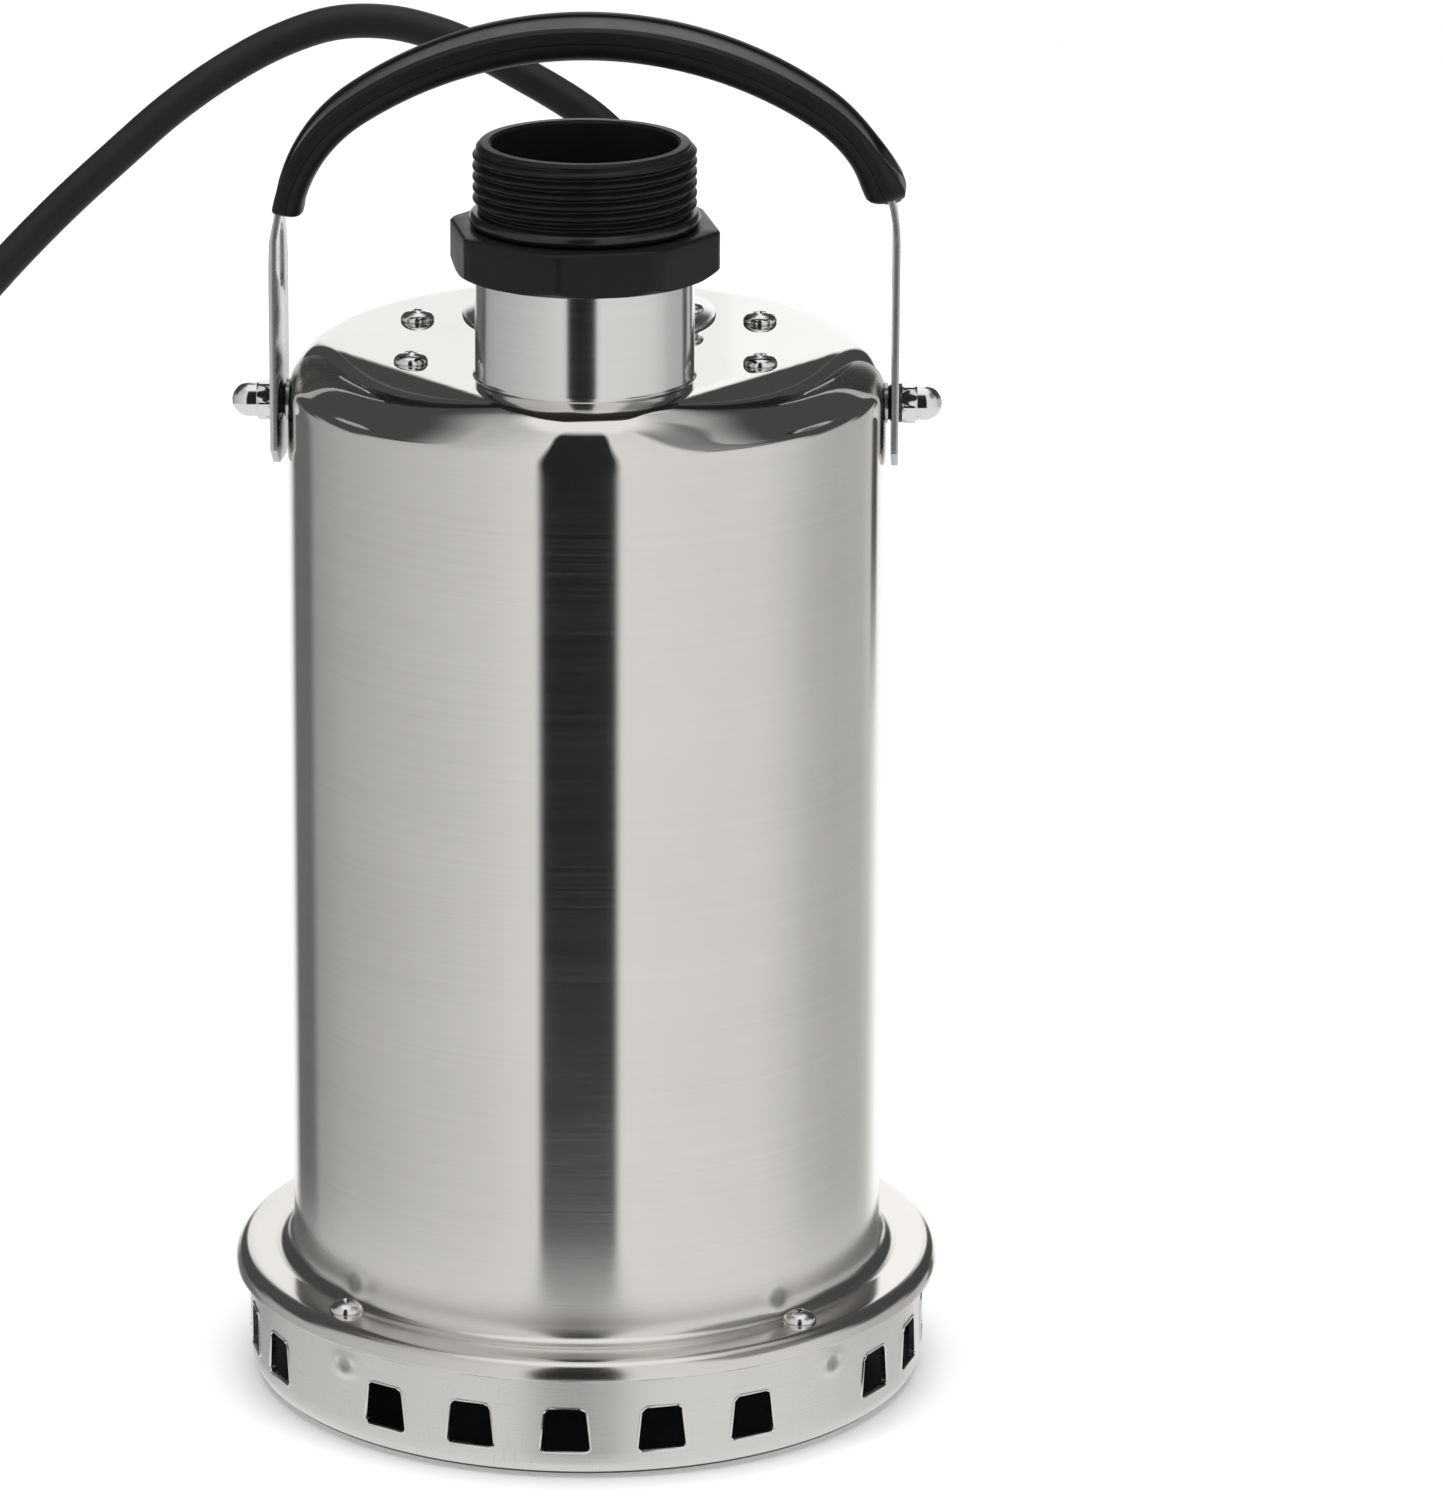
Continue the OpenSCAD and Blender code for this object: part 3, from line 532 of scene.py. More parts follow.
def coilPoints():
    # Three turns of the top row, then whole rows down to the ground
    low, high = boxMm("cord_coil")
    centre = (low + high) / 2
    middle = (high.x - low.x) / 2 - cord["columns"] * cord["pitch"] / 2
    first = cord["columns"] // 2
    order = [(column, cord["rows"] - 1) for column in range(first, -1, -1)]
    for row in range(cord["rows"] - 2, -1, -1):
        columns = list(range(cord["columns"]))
        if order[-1][0] != 0:
            columns.reverse()
        order += [(column, row) for column in columns]
    rise = (high.z - low.z) / cord["rows"]

    def spot(turn):
        column, row = order[turn]
        return middle + (column - first) * cord["pitch"], low.z + rise * (row + 0.5)
    start = math.atan2(cord["run"][-1][1] - centre.y, cord["run"][-1][0] - centre.x)
    stop = 2 * math.pi * (len(order) - 1) + math.radians(cord["leaves"]) - start
    count = int(stop / (2 * math.pi) * cord["perTurn"])
    points = []
    for i in range(1, count + 1):
        swing = stop * i / count
        turn = int(swing / (2 * math.pi))
        share = math.degrees(swing - 2 * math.pi * turn)
        r, z = spot(turn)
        if turn + 1 < len(order):
            nextR, nextZ = spot(turn + 1)
            shift = smoothStep((share - 360 + cord["jog"]) / cord["jog"])
            r, z = r + (nextR - r) * shift, z + (nextZ - z) * shift
        a = start + swing
        points.append(Vector((centre.x + r * math.cos(a), centre.y + r * math.sin(a), z)))
    return points


def lengthOf(path):
    return sum((Vector(b) - Vector(a)).length for a, b in zip(path, path[1:]))


runPath = smoothPath(cord["run"], 6)
coilPath = coilPoints()
tailPath = smoothPath(cord["tail"], 6)
cordPath = runPath + coilPath + tailPath
cordSection = circleSection(cord["d"] / 2, cord["sides"])
cordPiece = swept("powerCord", cordPath, [cordSection] * len(cordPath))
print("cord length:", round(lengthOf(cordPath)), "mm")


def makeRelief():
    # A tapered boot with grooves round it, bent with the cord
    relief = {"points": 25, "foot": 2.8, "head": 0.9, "groove": 0.55, "sides": 32}
    path = runPath[:relief["points"]]
    sections = []
    last = relief["points"] - 1
    for i in range(relief["points"]):
        t = i / last
        cut = relief["groove"] if 2 < i < last - 2 and i % 4 in (0, 1) else 0
        proud = relief["foot"] + (relief["head"] - relief["foot"]) * t - cut
        sections.append(circleSection(cord["d"] / 2 + proud, relief["sides"]))
    return swept("strainRelief", path, sections, sharp=50)


relief = finished(makeRelief(), "pump", "rubber", ["strain_relief"])


# Plug and tie

plugSizes = {"neck": 12.4, "sides": 64, "ribs": 5, "blade": 1.5, "bladeHole": 1.6, "pinSteps": 48}


def makePlug():
    low, high = boxMm("plug_body")
    x, z, face, back = (low.x + high.x) / 2, (low.z + high.z) / 2, low.y, high.y
    w, h = high.x - low.x, high.z - low.z
    neck, steps = plugSizes["neck"], plugSizes["sides"]
    # Share of the length from the cord's end, width, height, squareness
    stations = [(0.0, neck * 0.86, neck * 0.86, 2), (0.02, neck, neck, 2), (0.12, neck + 1, neck + 1, 2),
                (0.26, neck + 2.2, neck + 2.2, 2), (0.40, neck + 4.6, neck + 4.2, 2.2),
                (0.47, w * 0.80, h * 0.76, 2.6), (0.53, w * 0.92, h * 0.90, 3.2),
                (0.58, w * 0.97, h * 0.96, 3.8)]
    for k in range(plugSizes["ribs"]):
        at = 0.61 + 0.06 * k
        stations += [(at, w * 0.985, h * 0.99, 4.2), (at + 0.015, w * 0.90, h * 0.99, 4.2),
                     (at + 0.035, w * 0.90, h * 0.99, 4.2), (at + 0.05, w * 0.985, h * 0.99, 4.2)]
    stations += [(0.93, w, h, 4.4), (0.975, w, h, 4.6), (0.992, w * 0.975, h * 0.975, 4.6),
                 (1.0, w * 0.93, h * 0.93, 4.6)]
    path = [(x, back + (face - back) * s[0], z) for s in stations]
    sections = [roundBox(wide, tall, power, steps) for _, wide, tall, power in stations]
    return swept("plugBody", path, sections, up=(0, 0, 1), sharp=42)


def makeBlades():
    low, high = boxMm("plug_blades")
    thick, long, wide = plugSizes["blade"], high.y - low.y, high.z - low.z
    tip = [(low.y + 2.2, low.z), (low.y + 0.6, low.z + 0.9), (low.y, low.z + 2.4)]
    upper = [(y, low.z + high.z - z) for y, z in reversed(tip)]
    outline = [(high.y, low.z)] + tip + upper + [(high.y, high.z)]
    blades = []
    for x in (low.x, high.x - thick):
        blade = prism("blade", outline, x, x + thick, lambda y, z, depth: (depth, y, z), 30)
        hole = laidAlongX(rod("hole", plugSizes["bladeHole"], -5, 5, 24), 0, 0, 1)
        middle = Vector((x + thick / 2, low.y + 0.22 * long, low.z + wide / 2))
        hole.data.transform(Matrix.Translation(middle * mm))
        blades.append(cutWith(blade, hole))
    return bevelled(joined("plugBlades", blades), 0.2)


def makeGroundPin():
    low, high = boxMm("plug_ground_pin")
    r = (high.x - low.x) / 2
    long = high.y - low.y
    profile = [(axisR, 0), (r, 0), (r, long - r)] + arc(0, long - r, r, 8, 88, 7) + [(axisR, long)]
    pin = turned("plugGroundPin", profile, steps=plugSizes["pinSteps"])
    place = Matrix.Translation(Vector(((low.x + high.x) / 2, high.y, (low.z + high.z) / 2)) * mm)
    pin.data.transform(place @ Matrix.Rotation(math.pi / 2, 4, "X"))
    return pin


def makeTie():
    # A ribbed strap round the coil's section
    tie = {"angle": -125, "wide": 10, "thick": 1.15, "corner": 3.4, "ribs": 0.18}
    low, high = boxMm("cord_coil")
    centre = (low + high) / 2
    outer = (high.x - low.x) / 2
    inner = outer - cord["columns"] * cord["pitch"] + 0.1
    a = math.radians(tie["angle"])
    out = Vector((math.cos(a), math.sin(a), 0))
    across = Vector((-out.y, out.x, 0))
    left, right = inner - tie["thick"] / 2 - 0.05, outer + tie["thick"] / 2 + 0.05
    foot, top = low.z - tie["thick"] / 2, high.z + tie["thick"] / 2 + 0.05
    c = tie["corner"]
    corners = [(right - c, foot + c, -90), (right - c, top - c, 0),
               (left + c, top - c, 90), (left + c, foot + c, 180)]
    path = []
    for cr, cz, fromDeg in corners:
        path += arc(cr, cz, c, fromDeg, fromDeg + 90, 8)
    line = []
    for i, (r, z) in enumerate(path):
        nr, nz = path[(i + 1) % len(path)]
        steps = max(1, int(math.hypot(nr - r, nz - z) / 1.2))
        line += [(r + (nr - r) * k / steps, z + (nz - z) * k / steps) for k in range(steps)]
    points = []
    count = len(line)
    half, t = tie["wide"] / 2, tie["thick"] / 2
    flat = half * 0.86
    section = [(-half, -t), (half, -t), (half, t * 0.5), (flat, t), (-flat, t), (-half, t * 0.5)]
    for i, (r, z) in enumerate(line):
        pr, pz = line[i - 1]
        nr, nz = line[(i + 1) % count]
        way = Vector((nr - pr, nz - pz)).normalized()
        normal = Vector((way.y, -way.x))
        lift = tie["ribs"] if i % 2 else 0
        for u, v in section:
            vv = v - lift if v > 0 and abs(u) < half * 0.9 else v
            spot = Vector((r, z)) + normal * vv
            points.append(Vector((centre.x, centre.y, spot.y)) + out * spot.x + across * u)
    return makeMesh("coilTie", points, gridFaces(count, len(section), True, True), 30)


plug = finished(makePlug(), "pump", "plug", ["plug_body"])
blades = finished(makeBlades(), "pump", "brass", ["plug_blades"])
groundPin = finished(makeGroundPin(), "pump", "brass", ["plug_ground_pin"])
tie = finished(makeTie(), "pump", "tie", ["coil_tie"])
finished(cordPiece, "pump", "cord", ["cord_run", "cord_coil", "cord_tail"])
for piece in (cordPiece, plug, blades, groundPin, tie):
    piece.visible_glossy = False
lengthOf(cordPath) * mm
[Vector(p) * mm for p in cordPath]
print("cord, plug and tie made")


# Shell

shell = {"wall": 1.0, "draft": 0.5, "shoulder": 12, "footFillet": 4.0, "rimRound": 3.4, "rimDrop": 4.2,
         "footR": 65.7, "steps": 288, "bumpZ": 32.6, "bumpR": 3.6, "bumpOut": 0.55}
shellHigh = boxMm("outer_shell")[1]
flangeLow, flangeHigh = boxMm("shell_flange")
outletLow, outletHigh = boxMm("threaded_adapter")
outletY = (outletLow.y + outletHigh.y) / 2


def bumpSwell(a, r, z):
    # Small weld bumps in the wall's foot, over the brackets
    if r < shell["footR"] - 0.6 or r > shell["footR"] + 3:
        return r
    out = 0.0
    for deg in (-49.5, 40.5, 130.5, 220.5):
        turn = (a - math.radians(deg) + math.pi) % (2 * math.pi) - math.pi
        away = math.hypot(turn * r, z - shell["bumpZ"]) / shell["bumpR"]
        if away < 1.6:
            out = max(out, math.exp(-4 * (away - 0.25) ** 2 * (1.4 if away < 0.25 else 1)))
    return r + out * shell["bumpOut"] if out > 0.01 else r


def pressTop(piece):
    # The top slopes away beyond a chord at the front left and the front right
    press = {"angle": 50, "chord": 45.0, "slope": 0.29, "ease": 2.0, "from": 225, "to": 234}
    e = (math.sin(math.radians(press["angle"])), math.cos(math.radians(press["angle"])))
    for vertex in piece.data.vertices:
        x, y, z = vertex.co / mm
        beyond = abs(x) * e[0] - y * e[1] - press["chord"]
        if beyond > 0 and z > press["from"]:
            drop = press["slope"] * (math.hypot(beyond, press["ease"]) - press["ease"])
            vertex.co.z -= drop * smoothStep((z - press["from"]) / (press["to"] - press["from"])) * mm


def makeShell():
    r, top, t = shell["footR"], shellHigh.z, shell["wall"]
    flange, rimR, foot = flangeHigh.x, shell["rimRound"], flangeLow.z
    flangeTop = foot + shell["rimDrop"]
    s, f = shell["shoulder"], shell["footFillet"]
    head = r - shell["draft"]
    outer = [(flange - 0.25, foot), (flange, foot + 0.25)]
    outer += arc(flange - rimR, flangeTop - rimR + 0.001, rimR, 0, 90, 10)
    outer += [(flange - rimR - 1.5, flangeTop), (r + f + 0.4, flangeTop)]
    outer += arc(r + f, flangeTop + f, f, 270, 180, 10)
    outer += [(r, flangeTop + f + 0.6 * k) for k in range(1, 16)]
    outer += [(r + (head - r) * k / 12, 42 + (top - s - 42) * k / 12) for k in range(1, 12)]
    outer += arc(head - s, top - s, s, 0, 90, 18)
    outer += [(r - s - 1.5 * k, top) for k in range(1, 18)] + [(12, top), (axisR, top)]
    inner = [(axisR, top - t), (26, top - t)] + arc(head - s, top - s, s - t, 90, 0, 12)
    inner += [(r - t, flangeTop + f)] + arc(r + f, flangeTop + f, f + t, 180, 270, 8)
    inner += [(flange - rimR, flangeTop - t)] + arc(flange - rimR, flangeTop - rimR, rimR - t, 90, 0, 8)
    inner += [(flange - t, foot + 0.25), (flange - t + 0.2, foot)]
    piece = turned("outerShell", outer + inner, steps=shell["steps"], swell=bumpSwell)
    pressTop(piece)
    mouthR = boxMm("discharge_stub")[1].x - stub["wall"]
    cutters = [rod("mouth", mouthR, top - 5, top + 5, 96, (0, outletY))]
    for side in (-1, 1):
        cutters.append(laidAlongX(rod("hole", pivot["holeR"], 50, 80, 32), 0, pivot["z"], side))
    return cutWith(piece, joined("shellHoles", cutters), sharp=40)


studLow, studHigh = boxMm("pivot_studs")
pivot = {"z": (studLow.z + studHigh.z) / 2, "holeR": 4.5}
stub = {"wall": 1.5, "lip": 0.35, "flare": 0.5, "steps": 160}
finished(makeShell(), "pump", "shell", ["outer_shell", "shell_flange"])


def makeStub():
    low, high = boxMm("discharge_stub")
    r, t, lip, foot = high.x, stub["wall"], stub["lip"], high.x + stub["flare"]
    profile = [(foot, low.z - 0.4), (foot, low.z), (r + 0.2, low.z + 0.3), (r, low.z + 0.8),
               (r, high.z - lip)]
    profile += arc(r - lip, high.z - lip, lip, 20, 90, 4) + arc(r - t + lip, high.z - lip, lip, 90, 180, 4)
    profile += [(r - t, low.z - 0.4)]
    return turned("dischargeStub", profile, centre=(0, outletY), steps=stub["steps"], sharp=50)


finished(makeStub(), "pump", "stub", ["discharge_stub"])
print("shell and stub made")


# Threaded adapter

adapter = {"pitch": 2.309, "depth": 1.25, "crest": 283.32, "crestR": 23.9, "threadFoot": 271.9,
           "threadRows": 92, "bore": 19.9, "neckR": 22.3, "socketR": 21.9, "collarFoot": 258.3,
           "collarTop": 268.3, "collarR": 29.8, "collarTurn": -12, "cornerEase": 0.45, "steps": 240}


def octagonR(a, corner):
    # Distance to the side of an octagon whose corners lie at radius corner, with its corners eased
    first = math.radians(-90 + adapter["collarTurn"])
    return min(polygonR(a - first - math.pi / 8, corner, 8), corner - adapter["cornerEase"])


def makeAdapter():
    low, high = boxMm("threaded_adapter")
    crestR, rootR, neckR = adapter["crestR"], adapter["crestR"] - adapter["depth"], adapter["neckR"]
    foot, top, threadLow = adapter["collarFoot"], adapter["collarTop"], adapter["threadFoot"] - 0.5
    rows = []

    def row(r, z, kind="round"):
        rows.append((r, z, kind))
    row(adapter["socketR"], low.z)
    row(adapter["socketR"], foot)
    row(24.5, foot)
    for k in range(1, 11):
        row(0, foot + 0.1 + 2.6 * k / 10, "octagon")
    for z in (foot + 4, foot + 7, top - 0.7, top - 0.45, top - 0.2, top):
        row(0, z, "octagon")
    row(24.6, top)
    for z in (top, top + 1.5, threadLow - 0.1):
        row(neckR, z)
    count = adapter["threadRows"]
    for k in range(count + 1):
        row(rootR, threadLow + (high.z - 0.25 - threadLow) * k / count, "thread")
    row(22.2, high.z)
    row(adapter["bore"] + 0.6, high.z)
    row(adapter["bore"], high.z - 0.6)
    row(adapter["bore"], high.z - 20)
    row(adapter["bore"], low.z)
    steps = adapter["steps"]
    points = []
    for r, z, kind in rows:
        for k in range(steps):
            a = 2 * math.pi * k / steps
            rr = r
            if kind == "octagon":
                ease = 0.75 * max(0.0, (z - (top - 0.7)) / 0.7) ** 2
                rr = min(octagonR(a, adapter["collarR"]) - ease, 27.2 + (z - foot) * 1.37)
            elif kind == "thread":
                phase = ((z - adapter["crest"]) / adapter["pitch"] - a / (2 * math.pi)) % 1.0
                tooth = min(max((0.5 - abs(phase - 0.5)) * 2.9 - 0.22, 0.0), 1.0)
                tooth = smoothStep(tooth) * 0.5 + tooth * 0.5
                start = smoothStep((z - adapter["threadFoot"]) / 1.0)
                rr = rootR + adapter["depth"] * tooth * start
                rr = min(rr, crestR, neckR + (high.z - z) * 0.85)
            points.append((rr * math.cos(a), outletY + rr * math.sin(a), z))
    return makeMesh("threadedAdapter", points, gridFaces(len(rows), steps, True, True), 32)


finished(makeAdapter(), "pump", "adapter", ["threaded_adapter"])


def makeOring():
    low, high = boxMm("outlet_oring")
    r = (high.z - low.z) / 2
    profile = arc(high.x - r, (low.z + high.z) / 2, r, 0, 345, 23)
    return turned("outletOring", profile, centre=(0, outletY), steps=160, sharp=80)


finished(makeOring(), "pump", "oring", ["outlet_oring"])
print("adapter made")


# Strainer

strainer = {"wall": 1.2, "foot": 3.5, "turn": -2.5, "frontPitch": 16.1, "sidePitch": 14.5,
            "footW": 10.9, "headW": 9.2, "h": 10.2, "z": 6.1, "burr": 0.28}
strainerR = boxMm("strainer_base")[1].x
slotAngles = [side + i * strainer["frontPitch"] for side in (0, 180) for i in range(-2, 3)]
slotAngles += [side + i * strainer["sidePitch"] for side in (90, 270) for i in range(-2, 3)]


def ringSpot(deg, r, z):
    a = math.radians(deg + strainer["turn"])
    return (r * math.sin(a), -r * math.cos(a), z)


def slotOutline(grow=0.0):
    # Round-cornered slot, wider at its foot, as (across, up)
    foot, head = strainer["footW"] / 2 + grow, strainer["headW"] / 2 + grow
    low, high = strainer["z"] - grow, strainer["z"] + strainer["h"] + grow
    out = []
    for cx, cz, r, fromDeg in ((foot - 1.2, low + 1.2, 1.2, -90), (head - 1.8, high - 1.9, 1.9, 5),
                               (-head + 1.8, high - 1.9, 1.9, 85), (-foot + 1.2, low + 1.2, 1.2, 175)):
        out += arc(cx, cz, r, fromDeg, fromDeg + 90, 6)
    return out


def makeBurrTemplate():
    # The raised lip that punching left round a slot, a little uneven
    path = []
    for i, (x, z) in enumerate(slotOutline(0.05)):
        bend = strainerR - math.sqrt(strainerR ** 2 - x * x)
        path.append((x, bend + 0.06 * math.sin(2.7 * i) - 0.02, z))
    sizes = [strainer["burr"] * (1 + 0.25 * math.sin(1.9 * i)) for i in range(len(path))]
    return swept("burr", path, [circleSection(size, 6) for size in sizes], closed=True)


def makeStrainer():
    r, t, f = strainerR, strainer["wall"], strainer["foot"]
    top = boxMm("strainer_base")[1].z
    outer = [(axisR, 0), (35, 0)] + arc(r - f, f, f, 270, 360, 10)
    outer += [(r, z) for z in (6, 10)] + [(r, 14 + 0.5 * k) for k in range(17)] + [(r, top)]
    inner = [(r - t, top), (r - t, f)] + arc(r - f, f, f - t, 360, 270, 8) + [(35, t), (axisR, t)]
    piece = turned("strainerBase", outer + inner, steps=288, swell=weldDimple)
    places = [ringSpot(deg, strainerR, 0) for deg in slotAngles]
    slot = prism("slot", slotOutline(), -4, 6, lambda x, z, depth: (x, depth, z))
    cutter = placedOnPoints("slotCutters", places, slot, finishes["strainer"], faceOut=1.0)
    cutWith(piece, cutter, sharp=40)
    piece.data.materials.append(finishes["strainer"])
    piece.data.materials.append(finishes["strainerShadeInside"])
    # Faces inside the ring get the near-black painted shade
    for face in piece.data.polygons:
        middle = face.center / mm
        if math.hypot(middle.x, middle.y) < strainerR - 0.7 and middle.z > 0.7:
            face.material_index = 1
    burrs = placedOnPoints("slotBurrs", places, makeBurrTemplate(), finishes["burr"], faceOut=1.0)
    return piece, burrs


def weldDimple(a, r, z):
    # Shallow craters where the brackets are spot welded inside
    if r < strainerR - 0.1:
        return r
    for deg in (-41, 49, 139, 229):
        turn = (a - math.radians(deg + strainer["turn"] - 90) + math.pi) % (2 * math.pi) - math.pi
        away = math.hypot(turn * r, z - 18) / 2.4
        if away < 1.5:
            return r + 0.25 * math.exp(-6 * (away - 0.8) ** 2) - 0.35 * math.exp(-5 * away ** 2)
    return r


strainerPiece, burrs = makeStrainer()
finished(strainerPiece, "pump", "strainer", ["strainer_base"])
finished(burrs, "pump", "burr")
print("strainer made")


# Screws

def phillipsScrew(name, headR, headH, shankR, shankL):
    edge = 0.35
    dome = []
    for k in range(9):
        t = k / 8 * math.pi / 2
        dome.append((headR * math.cos(t * 0.98), edge + (headH - edge) * math.sin(t)))
    profile = [(axisR, -shankL), (shankR * 0.8, -shankL), (shankR, 0.6 - shankL), (shankR, 0),
               (headR - 0.2, 0), (headR, 0.2)] + dome[:-1] + [(axisR, headH)]
    screw = turned(name, profile, steps=40, sharp=45)
    arm, half, deep = headR * 0.46, headR * 0.10, headH * 0.6
    tip = 0.45
    bars = []
    for wide, tall in ((arm, half), (half, arm)):
        ends = [(-wide, -tall), (wide, -tall), (wide, tall), (-wide, tall)]
        slimX, slimY = (tip, 1) if wide > tall else (1, tip)
        points = [(x, y, headH + 0.4) for x, y in ends]
        points += [(x * slimX, y * slimY, headH - deep) for x, y in ends]
        faces = [(0, 1, 2, 3), (7, 6, 5, 4)] + [(i, (i + 1) % 4, 4 + (i + 1) % 4, 4 + i) for i in range(4)]
        bars.append(makeMesh("bar", points, faces))
    for bar in bars:
        cutWith(screw, bar, sharp=45)
    return screw


coverTop = boxMm("cable_cover")[1].z
screws = {
    "baseScrews": {"head": (3.6, 2.4, 2.0, 8), "stands": "base_screws",
                   "at": [ringSpot(45 + 90 * i, 70.5, flangeLow.z + shell["rimDrop"]) for i in range(4)]},
    "topScrews": {"head": (3.7, 2.3, 2.0, 12), "stands": "top_screws",
                  "at": [(x * 37.6, y * 18.5, shellHigh.z) for x in (-1, 1) for y in (-1, 1)]},
    "cableCoverScrews": {"head": (2.8, 1.9, 1.5, 7), "stands": "cable_cover_screws",
                         "at": [(-20, 14, coverTop), (22.5, 16, coverTop), (-4, 47, coverTop)]},
}
for name, screw in screws.items():
    template = phillipsScrew("template", *screw["head"])
    placed = placedOnPoints(name, screw["at"], template, finishes["screw"], looseTurn=1.57, seed=7)
    finished(placed, "pump", "screw", [screw["stands"]])
print("screws made")


# Cable cover and gland

gland = {"hexR": 9.4, "hexH": 3.6, "shaftR": 6, "rings": 4, "ringStep": 0.55}


def makeCableCover():
    low, high = boxMm("cable_cover")
    r, edge = (high.x - low.x) / 2, 1.1
    centreX, centreY = (low.x + high.x) / 2, (low.y + high.y) / 2
    foot = shellHigh.z
    profile = [(axisR, low.z), (r - 8, low.z), (r - 8, foot), (r, foot), (r, foot + 0.4),
               (r - 0.15, foot + 0.65)]
    profile += [(r - edge, foot + 1.0), (r - 4.4, high.z - 0.12), (r - 5, high.z), (r - 5.6, high.z - 0.35)]
    profile += [(axisR, high.z - 0.35)]
    return turned("cableCover", profile, centre=(centreX, centreY), steps=160)


def makeGland():
    low, high = boxMm("gland_nut")
    x, y = (low.x + high.x) / 2, (low.y + high.y) / 2
    foot, hole, hexR, shaftR = coverTop, cord["d"] / 2 + 0.3, gland["hexR"], gland["shaftR"]

    def hexSwell(a, r, z):
        onHex = foot - 0.01 <= z <= foot + gland["hexH"] and r > 8
        return min(r, polygonR(a, hexR, 6)) if onHex else r
    profile = [(hole, low.z), (shaftR, low.z), (shaftR, foot), (hexR - 0.8, foot), (hexR, foot + 0.35),
               (hexR, foot + 3.1), (hexR - 0.7, foot + 3.5)]
    for k in range(gland["rings"]):
        rise = foot + 3.5 + gland["ringStep"] * k
        profile += [(7.7 - 0.15 * k, rise), (7.35 - 0.15 * k, rise + 0.2)]
    profile += [(7.0, high.z), (hole, high.z)]
    return turned("glandNut", profile, centre=(x, y), steps=96, swell=hexSwell)


finished(makeCableCover(), "pump", "stub", ["cable_cover"])
finished(makeGland(), "pump", "plastic", ["gland_nut"])


# Pivots

nut = {"hexR": 4.62, "hexH": 3.2, "ease": 0.45, "domeR": 3.75, "domeFoot": 5.0, "hole": 2.5, "deep": 6}


def makeNut(side):
    foot = boxMm("lock_washers")[1].x
    hexR, hexH, ease, domeR, domeFoot, hole, deep = nut.values()

    def hexSwell(a, r, z):
        return min(r, polygonR(a, hexR, 6)) if z <= hexH and r > 3.9 else r
    profile = [(hole, 0), (4.15, 0), (hexR, ease * 0.7), (hexR, hexH - ease), (4.0, hexH),
               (domeR, hexH + 0.1)]
    profile += arc(0, domeFoot, domeR, 0, 87, 14) + [(axisR, domeFoot + domeR), (axisR, deep), (hole, deep)]
    return laidAlongX(turned("capNut", profile, steps=96, swell=hexSwell, sharp=32),
                      side * foot, pivot["z"], side)


def makeWasher(side):
    # A toothed lock washer, thinner on the left where the strap is twisted
    low, high = boxMm("lock_washers")
    r, thick, hole, teeth, deep = (high.z - low.z) / 2, 0.8 if side > 0 else 0.3, 2.6, 12, 0.28

    def toothed(a, rr, z):
        return rr - deep * (math.sin(teeth * a + 2.5 * z) > 0.35) if rr > 3.5 else rr
    profile = [(hole, 0), (r, 0), (r, thick * 0.5), (r, thick), (hole, thick)]
    washer = turned("lockWasher", profile, steps=96, swell=toothed, sharp=25)
    return laidAlongX(washer, side * (high.x - thick), pivot["z"], side)


def makeBush(side):
    # A grooved rubber spacer that ends in the sleeve the strap turns on, looser on the left
    faceX, strapIn, r = (65.5, 66.2, 3.9) if side > 0 else (65.3, 65.85, 3.6)
    end = boxMm("pivot_bushes")[1].x
    profile = [(2.5, faceX), (r, faceX), (r, faceX + 0.15), (r - 0.3, faceX + 0.22), (r - 0.3, faceX + 0.3),
               (r, faceX + 0.4), (r, strapIn), (3.0, strapIn), (3.0, end), (2.5, end)]
    return laidAlongX(turned("pivotBush", profile, steps=64), 0, pivot["z"], side)


pairs = (("capNuts", makeNut, "nut", "nut_chrome", "cap_nuts"),
         ("lockWashers", makeWasher, "washer", "washer_black_steel", "lock_washers"),
         ("pivotBushes", makeBush, "rubber", "black_rubber", "pivot_bushes"))
for name, make, finish, slot, node in pairs:
    finished(joined(name, [make(-1), make(1)]), "pump", finish, [node])
print("pivots made")


# Handle

handle = {"armX": 67, "thick": 1.5, "wide": 16, "archFoot": 259.1, "cornerR": 36.5, "crownR": 90,
          "cut": 3.54, "holeR": 2.2, "holeFoot": 249.5, "holeL": 10, "pivotR": 3.15, "twist": 7,
          "twistEnds": 256, "lip": 1.2, "gripWide": 19.4, "gripThick": 5.0, "gripBelly": 1.7}


def archPoints(count):
    # Even steps along the arch from right to left, as (x, z, outward x, outward z)
    turn = math.acos((handle["armX"] - handle["cornerR"]) / (handle["crownR"] - handle["cornerR"]))
    crownZ = handle["archFoot"] - (handle["crownR"] - handle["cornerR"]) * math.sin(turn)
    corner, crown = handle["cornerR"] * turn, handle["crownR"] * (math.pi / 2 - turn)
    total = 2 * (corner + crown)
    out = []
    for i in range(count + 1):
        s = total * i / count
        side = 1 if s <= total / 2 else -1
        s = min(s, total - s)
        if s < corner:
            a = s / handle["cornerR"]
            x = handle["armX"] - handle["cornerR"] + handle["cornerR"] * math.cos(a)
            z = handle["archFoot"] + handle["cornerR"] * math.sin(a)
        else:
            a = turn + (s - corner) / handle["crownR"]
            x, z = handle["crownR"] * math.cos(a), crownZ + handle["crownR"] * math.sin(a)
        out.append((side * x, z, side * math.cos(a), math.sin(a)))
    return out


